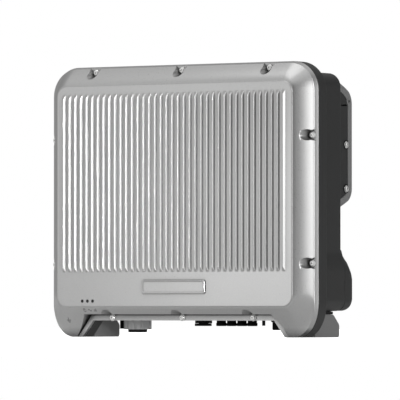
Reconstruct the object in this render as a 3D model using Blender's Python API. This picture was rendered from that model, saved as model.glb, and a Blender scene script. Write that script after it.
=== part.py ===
"""String inverter: a wall-hung three-phase solar inverter with a ribbed cast cover.

Lengths are written in millimetres and turned into metres as each mesh is made.
X runs to the right of the front, Z up. Depth counts back from the flat front panel,
and point() turns it into Y, so that the whole object is centred on the origin.
"""

import math

import bmesh
import bpy
from mathutils import Vector

MM = 0.001
GAP = 0.3

# Overall size.
WIDTH = 503.0
HEIGHT = 434.6
TOTAL_DEPTH = 183.0
HALF = WIDTH / 2

# Ribbed front panel.
RIB_COUNT = 39
RIB_PITCH = 11.0
RIB_HEIGHT = 4.0
RIB_HALF_BASE = 2.9
RIB_HALF_TOP = 0.5
RIB_LOW = 103.7
RIB_HIGH = 389.0
RIB_END_SLOPE = 7.0
PANEL_HALF = 223.0
PANEL_LOW = 49.0
PANEL_HIGH = 402.0
PANEL_RADIUS = 17.0

# Depths behind the panel.
PANEL_STEP = 1.5
RIM_FRONT = 26.5
RIM_DRAFT = 3.5
SCREW_SEAT = 28.5
COVER_REAR = 34.6
GASKET_FRONT = COVER_REAR + GAP
GASKET_REAR = 36.1
FLANGE_FRONT = GASKET_REAR + GAP
FLANGE_REAR = 60.0
BODY_REAR = 126.0
CHOKE_REAR = 154.0
REAR = TOTAL_DEPTH - RIB_HEIGHT
MIDDLE_DEPTH = (REAR - RIB_HEIGHT) / 2

# Outline of the rim, with the two feet.
RIM_RADIUS_TOP = 47.0
RIM_LOW_ACROSS = 36.0
RIM_LOW_UP = 54.0
ARCH_HEIGHT = 26.5
ARCH_HALF_TOP = 172.5
ARCH_HALF_FOOT = 193.0
MOUTH_HEIGHT = 36.5
MOUTH_HALF_TOP = 178.0
MOUTH_HALF_FOOT = 202.5

# Housing body behind the flange.
BODY_HALF = 238.0
BODY_LOW = 41.0
BODY_HIGH = 418.5
BODY_RADIUS = 22.0
CHEEK_HALF = 243.5
CHEEK_HIGH = 138.0
CHEEK_SHOULDER = 115.0
WALL = 3.5
CAVITY_HALF = 228.0
CAVITY_LOW = 48.0
CAVITY_HIGH = 409.0
CAVITY_RADIUS = 34.0

# Heat sink and wall bracket.
BRACKET_HALF = 224.0
BRACKET_SHEET = 3.0
BRACKET_BAND = 12.0
TRAY_FRONT = 132.0
SINK_HALF = 219.0
SINK_PLATE = 5.0
FIN_THICK = 2.6
FIN_COUNT = 19
FIN_PITCH = 22.0

# Screws.
COVER_SCREWS = (
    [(x, HEIGHT - 9.6, 90.0) for x in (-165.5, 0.0, 165.5)]
    + [(x, 31.0, 270.0) for x in (-134.0, 0.0, 134.0)]
    + [(-244.6, z, 180.0) for z in (116.5, 317.5)]
    + [(244.6, z, 0.0) for z in (116.5, 317.5)]
)
HEAD_RADIUS = 4.6
SHANK_RADIUS = 2.0
EAR_DEPTH = 170.8
EAR_Z = 375.5
EAR_RADIUS = 7.0
BRACKET_SCREW_DEPTH = 161.5
BRACKET_SCREW_HEIGHTS = (235.9, 305.9)

# Connectors under the housing.
PORT_DEPTH = 100.0
AC_X = -134.0
AC_RADIUS = 22.6
COMM_X = -6.5
DC_PITCH = 19.6
DC_X = [56.8 + (i - 1.5) * DC_PITCH for i in range(4)]
EARTH_X = 107.8
SWITCH_X = 149.8
SWITCH_RADIUS = 24.5
VENT_X = -60.0

# Status lights at the lower left of the panel.
LIGHT_X = (-174.0, -164.0, -154.0)
LIGHT_Z = 57.5

# Inside: the power board, the fan and the chokes.
BOARD_FRONT = 106.2
BOARD_REAR = 108.0
BOARD_LOW = 96.0
BOARD_HIGH = 398.0
BOARD_HALF = 208.0
FAN_X = 172.0
FAN_Z = 268.0
CHOKE_X = (-140.0, 0.0, 140.0)
CHOKE_Z = 80.0


def point(x, depth, z):
    """A place given by width, depth behind the panel and height, in metres."""
    return Vector((x, depth - MIDDLE_DEPTH, z)) * MM


def clear_scene():
    for obj in list(bpy.data.objects):
        bpy.data.objects.remove(obj, do_unlink=True)


def material(name, colour, roughness, metallic=0.0):
    mat = bpy.data.materials.get(name) or bpy.data.materials.new(name)
    mat.use_nodes = True
    shader = mat.node_tree.nodes["Principled BSDF"]
    shader.inputs["Base Color"].default_value = (*colour, 1.0)
    shader.inputs["Roughness"].default_value = roughness
    shader.inputs["Metallic"].default_value = metallic
    return mat


def silver_paint():
    return material("silver_paint", (0.52, 0.52, 0.52), 0.38, 0.6)


def dark_paint():
    return material("dark_paint", (0.035, 0.037, 0.037), 0.5)


def grey_paint():
    return material("grey_paint", (0.11, 0.11, 0.11), 0.5)


def black_plastic():
    return material("black_plastic", (0.008, 0.008, 0.008), 0.5)


def grey_plastic():
    return material("grey_plastic", (0.25, 0.25, 0.25), 0.5)


def steel():
    return material("steel", (0.75, 0.75, 0.75), 0.25, 1.0)


def rubber():
    return material("rubber", (0.012, 0.012, 0.012), 0.85)


def board_green():
    return material("board_green", (0.01, 0.12, 0.05), 0.45)


def finish_object(obj, mat, smooth_angle=30.0):
    obj.data.materials.clear()
    obj.data.materials.append(mat)
    obj.data.shade_smooth()
    obj.data.set_sharp_from_angle(angle=math.radians(smooth_angle))
    return obj


def object_from(bm, name):
    bmesh.ops.recalc_face_normals(bm, faces=bm.faces)
    mesh = bpy.data.meshes.new(name)
    bm.to_mesh(mesh)
    bm.free()
    obj = bpy.data.objects.new(name, mesh)
    bpy.context.scene.collection.objects.link(obj)
    return obj


def loft(name, rings):
    """One closed body through rings of points that match one by one."""
    bm = bmesh.new()
    levels = [[bm.verts.new(p) for p in ring] for ring in rings]
    count = len(rings[0])
    for near, far in zip(levels, levels[1:]):
        for i in range(count):
            j = (i + 1) % count
            bm.faces.new((near[i], near[j], far[j], far[i]))
    bm.faces.new(levels[0])
    bm.faces.new(levels[-1])
    return object_from(bm, name)


def rounded(corners, steps=4):
    """An outline whose corners are rounded; each is (x, z, cut) or (x, z, cut in, cut out).

    A cut is how far from the corner the curve starts, so that two different cuts make
    a quarter of an ellipse.
    """
    outline = []
    count = len(corners)
    for i, corner in enumerate(corners):
        here = Vector(corner[:2])
        cut_in, cut_out = corner[2], corner[-1]
        if cut_in <= 0:
            outline.append(here)
            continue
        before = (Vector(corners[i - 1][:2]) - here).normalized() * cut_in
        after = (Vector(corners[(i + 1) % count][:2]) - here).normalized() * cut_out
        for k in range(steps + 1):
            turn = math.pi / 2 * k / steps
            outline.append(here + before * (1 - math.sin(turn)) + after * (1 - math.cos(turn)))
    return outline


def plate_outline(half, low, high, radius, low_cuts=None, steps=4):
    """A rounded rectangle; low_cuts are a lower corner's cuts along X and along Z."""
    across, up = low_cuts or (radius, radius)
    return rounded([(half, low, across, up), (half, high, radius),
                    (-half, high, radius), (-half, low, up, across)], steps)


def prism_back(name, outline, front, back):
    """An outline in X and Z, carried back through the depth."""
    return loft(name, [[point(p[0], d, p[1]) for p in outline] for d in (front, back)])


def prism_across(name, outline, left, right):
    """A side profile of depth and height, carried across X."""
    return loft(name, [[point(x, p[0], p[1]) for p in outline] for x in (left, right)])


def prism_up(name, outline, low, high):
    """A plan of X and depth, carried up."""
    return loft(name, [[point(p[0], p[1], z) for p in outline] for z in (low, high)])


def box(name, x0, x1, d0, d1, z0, z1):
    return prism_up(name, [(x0, d0), (x1, d0), (x1, d1), (x0, d1)], z0, z1)


def circle(centre, radius, segments):
    return [(centre[0] + radius * math.cos(2 * math.pi * k / segments),
             centre[1] + radius * math.sin(2 * math.pi * k / segments))
            for k in range(segments)]


def turned_up(name, x, depth, steps, segments=24):
    """A body turned about an upright axis; steps are (radius, height) pairs."""
    return loft(name, [[point(p[0], p[1], z) for p in circle((x, depth), r, segments)]
                       for r, z in steps])


def turned_back(name, x, z, steps, segments=16):
    """A body turned about an axis along the depth; steps are (radius, depth) pairs."""
    return loft(name, [[point(p[0], d, p[1]) for p in circle((x, z), r, segments)]
                       for r, d in steps])


def turned_across(name, depth, z, steps, segments=16):
    """A body turned about an axis along X; steps are (radius, x) pairs."""
    return loft(name, [[point(x, p[0], p[1]) for p in circle((depth, z), r, segments)]
                       for r, x in steps])


def combine(obj, others, operation):
    """Cuts the other bodies from obj, or joins them to it, one after another."""
    for other in others:
        modifier = obj.modifiers.new("combine", "BOOLEAN")
        modifier.operation = operation
        modifier.object = other
        modifier.solver = "EXACT"
        evaluated = obj.evaluated_get(bpy.context.evaluated_depsgraph_get())
        mesh = bpy.data.meshes.new_from_object(evaluated)
        obj.modifiers.clear()
        obj.data = mesh
        bpy.data.objects.remove(other, do_unlink=True)
    return obj


def cut(obj, *cutters):
    return combine(obj, cutters, "DIFFERENCE")


def join(obj, *bodies):
    return combine(obj, bodies, "UNION")


def arch_cutter(name, half_top, half_foot, height, front, back):
    """The opening between the feet, whose sides slant outward going down."""
    slope = (half_foot - half_top) / height
    below = 5.0
    foot = half_foot + slope * below
    outline = [(-half_top, height), (-foot, -below), (foot, -below), (half_top, height)]
    return prism_back(name, outline, front, back)


def pocket_ring(x, z, angle, radius, mouth, depth):
    """One level of a screw pocket: a half circle that flares out through the rim."""
    turn = math.radians(angle)
    along = Vector((math.cos(turn), math.sin(turn)))
    side = Vector((-along.y, along.x))
    outline = []
    for k in range(9):
        t = math.pi * k / 8
        outline.append(side * radius * math.cos(t) - along * radius * math.sin(t))
    reach = 12.0
    outline.append(along * reach - side * mouth)
    outline.append(along * reach + side * mouth)
    return [point(x + p.x, depth, z + p.y) for p in outline]


def shoulder_rings():
    """Outer rings of the cover, from the panel edge back to the rim."""
    rings = [(PANEL_HALF, PANEL_LOW, PANEL_HIGH, PANEL_RADIUS, (PANEL_RADIUS,) * 2, 0.0)]
    edge = 1.0
    rim_radius = RIM_RADIUS_TOP - RIM_DRAFT
    for depth in (PANEL_STEP, 6.0, 12.0, 18.0, 23.0, RIM_FRONT):
        side = ((depth - PANEL_STEP + 0.4) / (RIM_FRONT - PANEL_STEP + 0.4)) ** 0.77
        chin = 1.0 - (1.0 - depth / (RIM_FRONT + 0.5)) ** 0.54
        half = PANEL_HALF + edge + (HALF - RIM_DRAFT - PANEL_HALF - edge) * side
        high = PANEL_HIGH + edge + (HEIGHT - RIM_DRAFT - PANEL_HIGH - edge) * side
        low = (PANEL_LOW - edge) * (1.0 - chin)
        radius = PANEL_RADIUS + (rim_radius - PANEL_RADIUS) * side
        low_cuts = (PANEL_RADIUS + (RIM_LOW_ACROSS - PANEL_RADIUS) * side,
                    PANEL_RADIUS + (RIM_LOW_UP - PANEL_RADIUS) * side)
        rings.append((half, low, high, radius, low_cuts, depth))
    rings.append((HALF, 0.0, HEIGHT, RIM_RADIUS_TOP, (RIM_LOW_ACROSS, RIM_LOW_UP), COVER_REAR))
    return rings


def ring_points(half, low, high, radius, low_cuts, depth):
    outline = plate_outline(half, low, high, radius, low_cuts, 6)
    return [point(p[0], depth, p[1]) for p in outline]


def front_cover():
    cover = loft("front_cover", [ring_points(*ring) for ring in shoulder_rings()])
    hollow = loft("hollow", [
        ring_points(217.0, 56.0, 396.0, 16.0, None, 4.0),
        ring_points(222.0, 53.0, 401.0, 22.0, None, 12.0),
        ring_points(CAVITY_HALF, CAVITY_LOW, CAVITY_HIGH, CAVITY_RADIUS, None, 24.0),
        ring_points(CAVITY_HALF, CAVITY_LOW, CAVITY_HIGH, CAVITY_RADIUS, None, 40.0)])
    ribs = []
    for i in range(RIB_COUNT):
        x = (i - (RIB_COUNT - 1) / 2) * RIB_PITCH
        levels = []
        for half, inset, depth in ((RIB_HALF_BASE + 0.3, -0.5, 0.6),
                                   (RIB_HALF_TOP, RIB_END_SLOPE, -RIB_HEIGHT)):
            low, high = RIB_LOW + inset, RIB_HIGH - inset
            corners = ((x - half, low), (x + half, low), (x + half, high), (x - half, high))
            levels.append([point(p[0], depth, p[1]) for p in corners])
        ribs.append(loft("rib", levels))
    join(cover, *ribs)
    cutters = [hollow]
    cutters.append(arch_cutter("mouth", MOUTH_HALF_TOP, MOUTH_HALF_FOOT, MOUTH_HEIGHT,
                               -20.0, SCREW_SEAT))
    cutters.append(arch_cutter("arch", ARCH_HALF_TOP, ARCH_HALF_FOOT, ARCH_HEIGHT,
                               -20.0, 60.0))
    cut(cover, *cutters)
    pockets = []
    for x, z, angle in COVER_SCREWS:
        pockets.append(loft("pocket", [
            pocket_ring(x, z, angle, 12.2, 18.0, -8.0),
            pocket_ring(x, z, angle, 7.0, 15.5, SCREW_SEAT)]))
    cut(cover, *pockets)
    holes = [turned_back("hole", x, z, [(SHANK_RADIUS + 0.6, 20.0), (SHANK_RADIUS + 0.6, 40.0)], 8)
             for x, z, _ in COVER_SCREWS]
    holes += [turned_back("hole", x, LIGHT_Z, [(2.6, -5.0), (2.6, 10.0)], 12) for x in LIGHT_X]
    cut(cover, *holes)
    return finish_object(cover, silver_paint())


def cover_gasket():
    outer = prism_back("cover_gasket", plate_outline(235.5, 42.0, 416.0, 38.0), GASKET_FRONT,
                       GASKET_REAR)
    inner = prism_back("inner", plate_outline(231.0, 46.0, 411.5, 34.0), 30.0, 40.0)
    return finish_object(cut(outer, inner), rubber())


def cover_screws():
    for i, (x, z, _) in enumerate(COVER_SCREWS):
        head_back = SCREW_SEAT - GAP
        head = turned_back(f"cover_screw_{i + 1}", x, z, [
            (HEAD_RADIUS - 1.2, head_back - 3.6), (HEAD_RADIUS, head_back - 2.4),
            (HEAD_RADIUS, head_back), (SHANK_RADIUS, head_back), (SHANK_RADIUS, 50.0)], 10)
        drive = turned_back("drive", x, z, [(1.9, head_back - 5.0), (1.9, head_back - 1.8)], 6)
        finish_object(cut(head, drive), steel())


def rim_outline():
    return rounded([
        (HALF, 0.0, RIM_LOW_ACROSS, RIM_LOW_UP), (HALF, HEIGHT, RIM_RADIUS_TOP),
        (-HALF, HEIGHT, RIM_RADIUS_TOP), (-HALF, 0.0, RIM_LOW_UP, RIM_LOW_ACROSS),
        (-ARCH_HALF_FOOT, 0.0, 2.0), (-ARCH_HALF_TOP, ARCH_HEIGHT, 3.0),
        (ARCH_HALF_TOP, ARCH_HEIGHT, 3.0), (ARCH_HALF_FOOT, 0.0, 2.0)])


def rear_housing():
    """The dark cast tub: a flange the shape of the rim, and a body behind it."""
    flange = prism_back("rear_housing", rim_outline(), FLANGE_FRONT, FLANGE_REAR)
    body = loft("body", [
        ring_points(BODY_HALF - inset, BODY_LOW + inset, BODY_HIGH - inset,
                    BODY_RADIUS - inset, (18.0 - inset,) * 2, depth)
        for inset, depth in ((0.0, FLANGE_REAR - 5.0), (0.0, BODY_REAR - 9.0),
                             (2.2, BODY_REAR - 2.5), (6.0, BODY_REAR))])
    cheeks = prism_back("cheeks", rounded([
        (CHEEK_HALF, BODY_LOW + 0.5, 18.0), (CHEEK_HALF, CHEEK_SHOULDER, 12.0),
        (BODY_HALF - 1.0, CHEEK_HIGH, 0.0), (-BODY_HALF + 1.0, CHEEK_HIGH, 0.0),
        (-CHEEK_HALF, CHEEK_SHOULDER, 12.0), (-CHEEK_HALF, BODY_LOW + 0.5, 18.0)]),
        FLANGE_REAR - 4.0, BODY_REAR - 0.5)
    join(flange, body, cheeks)
    hollow = prism_back("hollow", plate_outline(CAVITY_HALF, CAVITY_LOW, CAVITY_HIGH,
                                                CAVITY_RADIUS), 20.0, BODY_REAR - WALL)
    cut(flange, hollow)
    posts = [turned_back("post", x, z, [(4.5, BOARD_REAR + GAP), (4.5, BODY_REAR - 1.0)], 10)
             for x in (-190.0, 190.0) for z in (BOARD_LOW + 12.0, BOARD_HIGH - 12.0)]
    join(flange, *posts)
    holes = [turned_back("hole", x, z, [(SHANK_RADIUS + 0.6, 20.0), (SHANK_RADIUS + 0.6, 52.0)], 8)
             for x, z, _ in COVER_SCREWS]
    holes.append(port_hole(AC_X, 15.0))
    holes.append(port_hole(COMM_X, 7.0))
    holes += [port_hole(x, 7.0) for x in DC_X]
    holes.append(port_hole(EARTH_X, 3.0))
    holes.append(port_hole(SWITCH_X, 5.0))
    holes.append(port_hole(VENT_X, 6.8))
    for i in range(3):
        holes.append(turned_back("hole", CHOKE_X[i], CHOKE_Z, [(9.0, 110.0), (9.0, 140.0)], 12))
    cut(flange, *holes)
    return finish_object(flange, dark_paint())


def port_hole(x, radius):
    return turned_up("hole", x, PORT_DEPTH, [(radius, 30.0), (radius, 60.0)], 14)


def choke_cover():
    """The box at the lower back that covers the chokes."""
    front = BODY_REAR + GAP

    def level(inset, shoulder, top, depth):
        half, top_half, low = CHEEK_HALF - inset, BODY_HALF - 4.0 - inset, BODY_LOW + 1.0 + inset
        outline = rounded([(half, low, 16.0), (half, shoulder, 10.0), (top_half, top, 0.0),
                           (-top_half, top, 0.0), (-half, shoulder, 10.0), (-half, low, 16.0)])
        return [point(p[0], depth, p[1]) for p in outline]

    cover = loft("choke_cover", [
        level(0.0, 115.0, 137.0, front), level(0.0, 112.0, 124.0, 140.0),
        level(0.8, 104.0, 114.0, 148.0), level(3.0, 98.0, 108.0, 152.0),
        level(7.0, 93.0, 103.0, CHOKE_REAR)])
    hollow = loft("hollow", [
        level(4.0, 111.0, 132.0, front - 5.0), level(4.0, 107.0, 118.0, 138.0),
        level(10.0, 92.0, 101.0, CHOKE_REAR - 3.0)])
    return finish_object(cut(cover, hollow), dark_paint())


def chokes():
    for i, x in enumerate(CHOKE_X):
        core = prism_back(f"choke_{i + 1}", rounded([
            (x + 38.0, 54.0, 6.0), (x + 38.0, 104.0, 6.0),
            (x - 38.0, 104.0, 6.0), (x - 38.0, 54.0, 6.0)], 3), BODY_REAR + GAP, CHOKE_REAR - 12.0)
        neck = turned_back("neck", x, CHOKE_Z, [(8.0, 113.0), (8.0, BODY_REAR + 3.0)], 12)
        finish_object(join(core, neck), material("copper", (0.45, 0.17, 0.06), 0.4, 0.7))


def tray_profile(inset, front):
    """Side profile of the heat sink bay, open to the front, drawn in by inset."""
    back = REAR - inset
    low = 200.0 + inset
    high = 410.0 - inset
    knee = 149.0
    rise = 8.5
    slope = 0.33
    start = rise - (knee - front) * slope
    cut_back = 14.0 - inset * 0.45
    return rounded([(front, low + start, 0.0), (knee, low + rise, cut_back),
                    (back, 222.0 + inset * 0.7, cut_back),
                    (back, 386.0 - inset * 0.7, cut_back),
                    (knee, high - rise, cut_back), (front, high - start, 0.0)])


def wall_bracket():
    """The light grey tray that hangs on the wall and wraps the heat sink."""
    tray = prism_across("wall_bracket", tray_profile(0.0, TRAY_FRONT), -BRACKET_HALF, BRACKET_HALF)
    inner_half = BRACKET_HALF - BRACKET_SHEET
    inside = prism_across("inside", tray_profile(BRACKET_SHEET, 120.0), -inner_half, inner_half)
    through = prism_across("through", tray_profile(BRACKET_BAND, 120.0), -260.0, 260.0)
    cut(tray, inside, through)
    ears = [turned_across("ear", EAR_DEPTH, EAR_Z, [(EAR_RADIUS, x), (EAR_RADIUS, x + BRACKET_SHEET - 0.2)], 12)
            for x in (-BRACKET_HALF + 0.1, inner_half + 0.1)]
    join(tray, *ears)
    holes = [turned_across("hole", EAR_DEPTH, EAR_Z, [(2.2, -250.0), (2.2, 250.0)], 12)]
    for x in (-170.0, -85.0, 85.0, 170.0):
        for z in (262.0, 352.0):
            holes.append(turned_back("hole", x, z, [(4.2, 170.0), (4.2, 190.0)], 8))
    cut(tray, *holes)
    return finish_object(tray, grey_paint())


def heat_sink():
    front = BODY_REAR + GAP
    profile = tray_profile(BRACKET_BAND + 0.6, front)
    plate = box("heat_sink", -SINK_HALF, SINK_HALF, front, front + SINK_PLATE, 215.0, 397.0)
    parts = []
    for side in (-1, 1):
        inner, outer = sorted((side * (SINK_HALF - 4.0), side * (BRACKET_HALF - 0.6)))
        end = prism_across("end", profile, inner, outer)
        slot = box("slot", inner - 1.0, outer + 1.0, 148.0, 165.0, 367.3, 369.9)
        notch = turned_across("notch", EAR_DEPTH, EAR_Z,
                              [(EAR_RADIUS + 0.8, inner - 1.0), (EAR_RADIUS + 0.8, outer + 1.0)], 12)
        parts.append(cut(end, slot, notch))
    for i in range(FIN_COUNT):
        x = (i - (FIN_COUNT - 1) / 2) * FIN_PITCH
        parts.append(box("fin", x - FIN_THICK / 2, x + FIN_THICK / 2, front + 2.0,
                         REAR - BRACKET_SHEET - 4.0, 232.0, 380.0))
    join(plate, *parts)
    holes = [turned_across("hole", BRACKET_SCREW_DEPTH, z,
                           [(SHANK_RADIUS + 0.5, side * 210.0), (SHANK_RADIUS + 0.5, side * 250.0)], 8)
             for z in BRACKET_SCREW_HEIGHTS for side in (-1, 1)]
    cut(plate, *holes)
    return finish_object(plate, dark_paint())


def bracket_screws():
    number = 0
    for side in (-1, 1):
        for z in BRACKET_SCREW_HEIGHTS:
            number += 1
            seat = side * (BRACKET_HALF - 0.6 + GAP)
            screw = turned_across(f"bracket_screw_{number}", BRACKET_SCREW_DEPTH, z, [
                (SHANK_RADIUS, side * 205.0), (SHANK_RADIUS, seat), (4.4, seat),
                (4.4, seat + side * 2.4), (3.2, seat + side * 3.6)], 10)
            drive = turned_across("drive", BRACKET_SCREW_DEPTH, z,
                                  [(2.0, seat + side * 1.8), (2.0, seat + side * 5.0)], 6)
            finish_object(cut(screw, drive), steel())


def feet():
    """Grey stands under the housing, one behind each foot of the flange."""
    front = FLANGE_REAR + GAP
    profile = rounded([(front, 0.0, 0.0), (132.5, 0.0, 4.0), (132.5, 20.0, 3.0),
                       (115.0, 36.0, 3.0), (front, 36.0, 0.0)], 3)
    for name, inner, outer in (("left", -229.3, -191.0), ("right", 191.0, 229.3)):
        foot = prism_across(f"foot_{name}", profile, inner, outer)
        hollow = box("hollow", inner + 4.0, outer - 4.0, front + 6.0, 112.0, 5.0, 32.0)
        hatch = box("hatch", inner + 10.0, outer - 10.0, front + 12.0, 106.0, -5.0, 10.0)
        finish_object(cut(foot, hollow, hatch), grey_paint())
        pad = box(f"foot_pad_{name}", inner + 1.0, outer - 1.0, front, 115.0,
                  36.0 + GAP, BODY_LOW - GAP)
        finish_object(pad, rubber())


def light_pipes():
    for i, x in enumerate(LIGHT_X):
        pipe = turned_back(f"light_pipe_{i + 1}", x, LIGHT_Z, [(2.2, 0.4), (2.2, 26.0)], 12)
        finish_object(pipe, material("clear_pipe", (0.05, 0.06, 0.05), 0.2))
    board = box("light_board", -184.0, -144.0, 26.3, 27.9, 51.0, 74.0)
    finish_object(board, board_green())


def power_board():
    board = prism_back("power_board", plate_outline(BOARD_HALF, BOARD_LOW, BOARD_HIGH, 6.0, steps=1),
                       BOARD_FRONT, BOARD_REAR)
    return finish_object(board, board_green())


def power_modules():
    for i, x in enumerate((-90.0, 90.0)):
        module = box(f"power_module_{i + 1}", x - 31.0, x + 31.0, BOARD_REAR + GAP,
                     BODY_REAR - WALL - GAP, 250.0, 300.0)
        finish_object(module, black_plastic())


def capacitors():
    for i in range(4):
        x = -105.0 + 70.0 * i
        can = turned_back(f"capacitor_{i + 1}", x, 358.0, [
            (15.5, 62.0), (17.0, 63.5),
            (17.0, BOARD_FRONT - GAP)], 12)
        finish_object(can, material("can_sleeve", (0.02, 0.03, 0.09), 0.35))


def relays():
    for i in range(2):
        x = -165.0 + 50.0 * i
        relay = box(f"relay_{i + 1}", x - 14.0, x + 14.0, 78.0, BOARD_FRONT - GAP, 150.0, 186.0)
        finish_object(relay, black_plastic())


def filter_choke():
    ring = turned_back("filter_choke", 70.0, 178.0, [
        (27.0, 76.0), (31.0, 79.0), (31.0, 103.0), (28.0, BOARD_FRONT - GAP)], 20)
    bore = turned_back("bore", 70.0, 178.0, [(14.0, 70.0), (14.0, 115.0)], 16)
    finish_object(cut(ring, bore), material("copper", (0.45, 0.17, 0.06), 0.4, 0.7))


def terminal_block():
    block = box("terminal_block", -185.0, -100.0, 76.0, BOARD_FRONT - GAP, 106.0, 136.0)
    ways = [box("way", -182.0 + 16.4 * i, -169.0 + 16.4 * i, 82.0, 98.0, 100.0, 124.0)
            for i in range(5)]
    finish_object(cut(block, *ways), material("terminal_grey", (0.3, 0.32, 0.3), 0.5))


def control_board():
    board = prism_back("control_board", plate_outline(140.0, 205.0, 332.0, 4.0, steps=1), 50.0, 51.6)
    chips = [box("chip", -20.0, 12.0, 46.5, 50.5, 250.0, 282.0),
             box("chip", 55.0, 78.0, 47.5, 50.5, 236.0, 259.0),
             box("plug", -125.0, -65.0, 41.0, 50.5, 212.0, 222.0),
             box("plug", 60.0, 126.0, 41.0, 50.5, 310.0, 322.0)]
    finish_object(join(board, *chips), board_green())


def board_frame():
    """The bent strip frame that holds the control board in front of the power board."""
    front = 51.6 + GAP
    frame = prism_back("board_frame", plate_outline(138.0, 207.0, 330.0, 4.0, steps=1), front,
                       front + 1.5)
    window = prism_back("window", plate_outline(124.0, 221.0, 316.0, 4.0, steps=1), 45.0, 60.0)
    cut(frame, window)
    posts = [turned_back("post", x, z, [(3.5, front + 1.0), (3.5, BOARD_FRONT - GAP)], 6)
             for x in (-131.0, 131.0) for z in (214.0, 323.0)]
    finish_object(join(frame, *posts), material("zinc", (0.6, 0.6, 0.55), 0.4, 1.0))


def fan():
    frame = prism_back("fan_frame", rounded([
        (FAN_X + 30.0, FAN_Z - 30.0, 4.0), (FAN_X + 30.0, FAN_Z + 30.0, 4.0),
        (FAN_X - 30.0, FAN_Z + 30.0, 4.0), (FAN_X - 30.0, FAN_Z - 30.0, 4.0)], 2),
        80.0, BOARD_FRONT - GAP)
    bore = turned_back("bore", FAN_X, FAN_Z, [(27.5, 75.0), (27.5, 102.0)], 24)
    cut(frame, bore)
    finish_object(frame, black_plastic())
    rotor = turned_back("fan_rotor", FAN_X, FAN_Z, [(11.0, 83.0), (12.0, 84.0), (12.0, 100.0)], 18)
    twist = 0.32
    for k in range(7):
        turn = 2 * math.pi * k / 7
        rings = []
        for depth, lead in ((85.0, -twist), (98.0, twist)):
            ring = []
            for r, side in ((10.0, -1), (25.5, -1), (25.5, 1), (10.0, 1)):
                angle = turn + lead + side * 1.0 / r
                ring.append(point(FAN_X + r * math.cos(angle), depth, FAN_Z + r * math.sin(angle)))
            rings.append(ring)
        join(rotor, loft("blade", rings))
    finish_object(rotor, black_plastic())


def ac_connector():
    top = BODY_LOW - GAP
    socket = box("ac_socket", AC_X - 25.0, AC_X + 25.0, PORT_DEPTH - 25.0, PORT_DEPTH + 25.0,
                 top - 4.0, top)
    barrel = turned_up("barrel", AC_X, PORT_DEPTH, [(17.0, 14.5), (17.0, top - 2.0)])
    neck = turned_up("neck", AC_X, PORT_DEPTH, [(13.5, top - 1.0), (13.5, 62.0)], 20)
    latch = box("latch", AC_X - 28.5, AC_X - 23.8, PORT_DEPTH - 9.0, PORT_DEPTH + 9.0, 13.0, top - 1.0)
    arm = box("arm", AC_X - 28.5, AC_X - 20.0, PORT_DEPTH - 9.0, PORT_DEPTH + 9.0, top - 4.0, top - 1.0)
    join(socket, barrel, neck, latch, arm)
    bore = turned_up("bore", AC_X, PORT_DEPTH, [(11.0, 10.0), (11.0, 32.0)], 20)
    finish_object(cut(socket, bore), material("dark_plastic", (0.03, 0.03, 0.03), 0.5))

    ribbed = []
    count = 48
    for k in range(count):
        radius = AC_RADIUS if k % 6 in (1, 2, 3, 4) else AC_RADIUS - 1.4
        turn = 2 * math.pi * k / count
        ribbed.append((AC_X + radius * math.cos(turn), PORT_DEPTH + radius * math.sin(turn)))
    nut = prism_up("ac_ring_nut", ribbed, 12.0, 35.6)
    bore = turned_up("bore", AC_X, PORT_DEPTH, [(17.5, 5.0), (17.5, 45.0)])
    finish_object(cut(nut, bore), grey_plastic())

    seal = turned_up("ac_seal_ring", AC_X, PORT_DEPTH, [
        (13.6, 7.2), (15.4, 8.2), (15.4, 14.2)], 24)
    bore = turned_up("bore", AC_X, PORT_DEPTH, [(11.0, 0.0), (11.0, 30.0)], 20)
    finish_object(cut(seal, bore), black_plastic())


def dc_connectors():
    top = BODY_LOW - GAP
    for i, x in enumerate(DC_X):
        body = turned_up(f"dc_connector_{i + 1}", x, PORT_DEPTH, [
            (7.0, 17.5), (8.4, 18.6), (8.4, 26.0), (9.2, 27.0), (9.2, top),
            (6.0, top), (6.0, 58.0)], 14)
        bore = turned_up("bore", x, PORT_DEPTH, [(4.6, 10.0), (4.6, 34.0)], 8)
        finish_object(cut(body, bore), black_plastic())


def comm_port():
    top = BODY_LOW - GAP
    body = box("comm_port", COMM_X - 12.0, COMM_X + 12.0, PORT_DEPTH - 8.0, PORT_DEPTH + 8.0,
               22.0, top)
    neck = turned_up("neck", COMM_X, PORT_DEPTH, [(6.0, top - 1.0), (6.0, 58.0)], 16)
    join(body, neck)
    bore = box("bore", COMM_X - 7.0, COMM_X + 7.0, PORT_DEPTH - 4.5, PORT_DEPTH + 4.5, 10.0, 34.0)
    finish_object(cut(body, bore), black_plastic())
    cap = box("comm_cap", COMM_X - 12.5, COMM_X + 11.0, PORT_DEPTH - 8.5, PORT_DEPTH + 8.5,
              17.6, 22.0 - GAP)
    finish_object(cap, black_plastic())


def earth_stud():
    top = BODY_LOW - GAP
    stud = turned_up("earth_stud", EARTH_X, PORT_DEPTH, [
        (2.6, 18.2), (2.6, 33.0), (5.2, 33.0), (5.2, 37.5), (6.4, 37.5), (6.4, top),
        (2.4, top), (2.4, 55.0)], 12)
    finish_object(stud, material("plated_black", (0.02, 0.02, 0.02), 0.35, 0.8))


def vent_plug():
    top = BODY_LOW - GAP
    plug = turned_up("vent_plug", VENT_X, PORT_DEPTH, [
        (8.0, 30.5), (9.0, 31.5), (9.0, top), (5.8, top), (5.8, 56.0)], 18)
    finish_object(plug, black_plastic())


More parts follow.
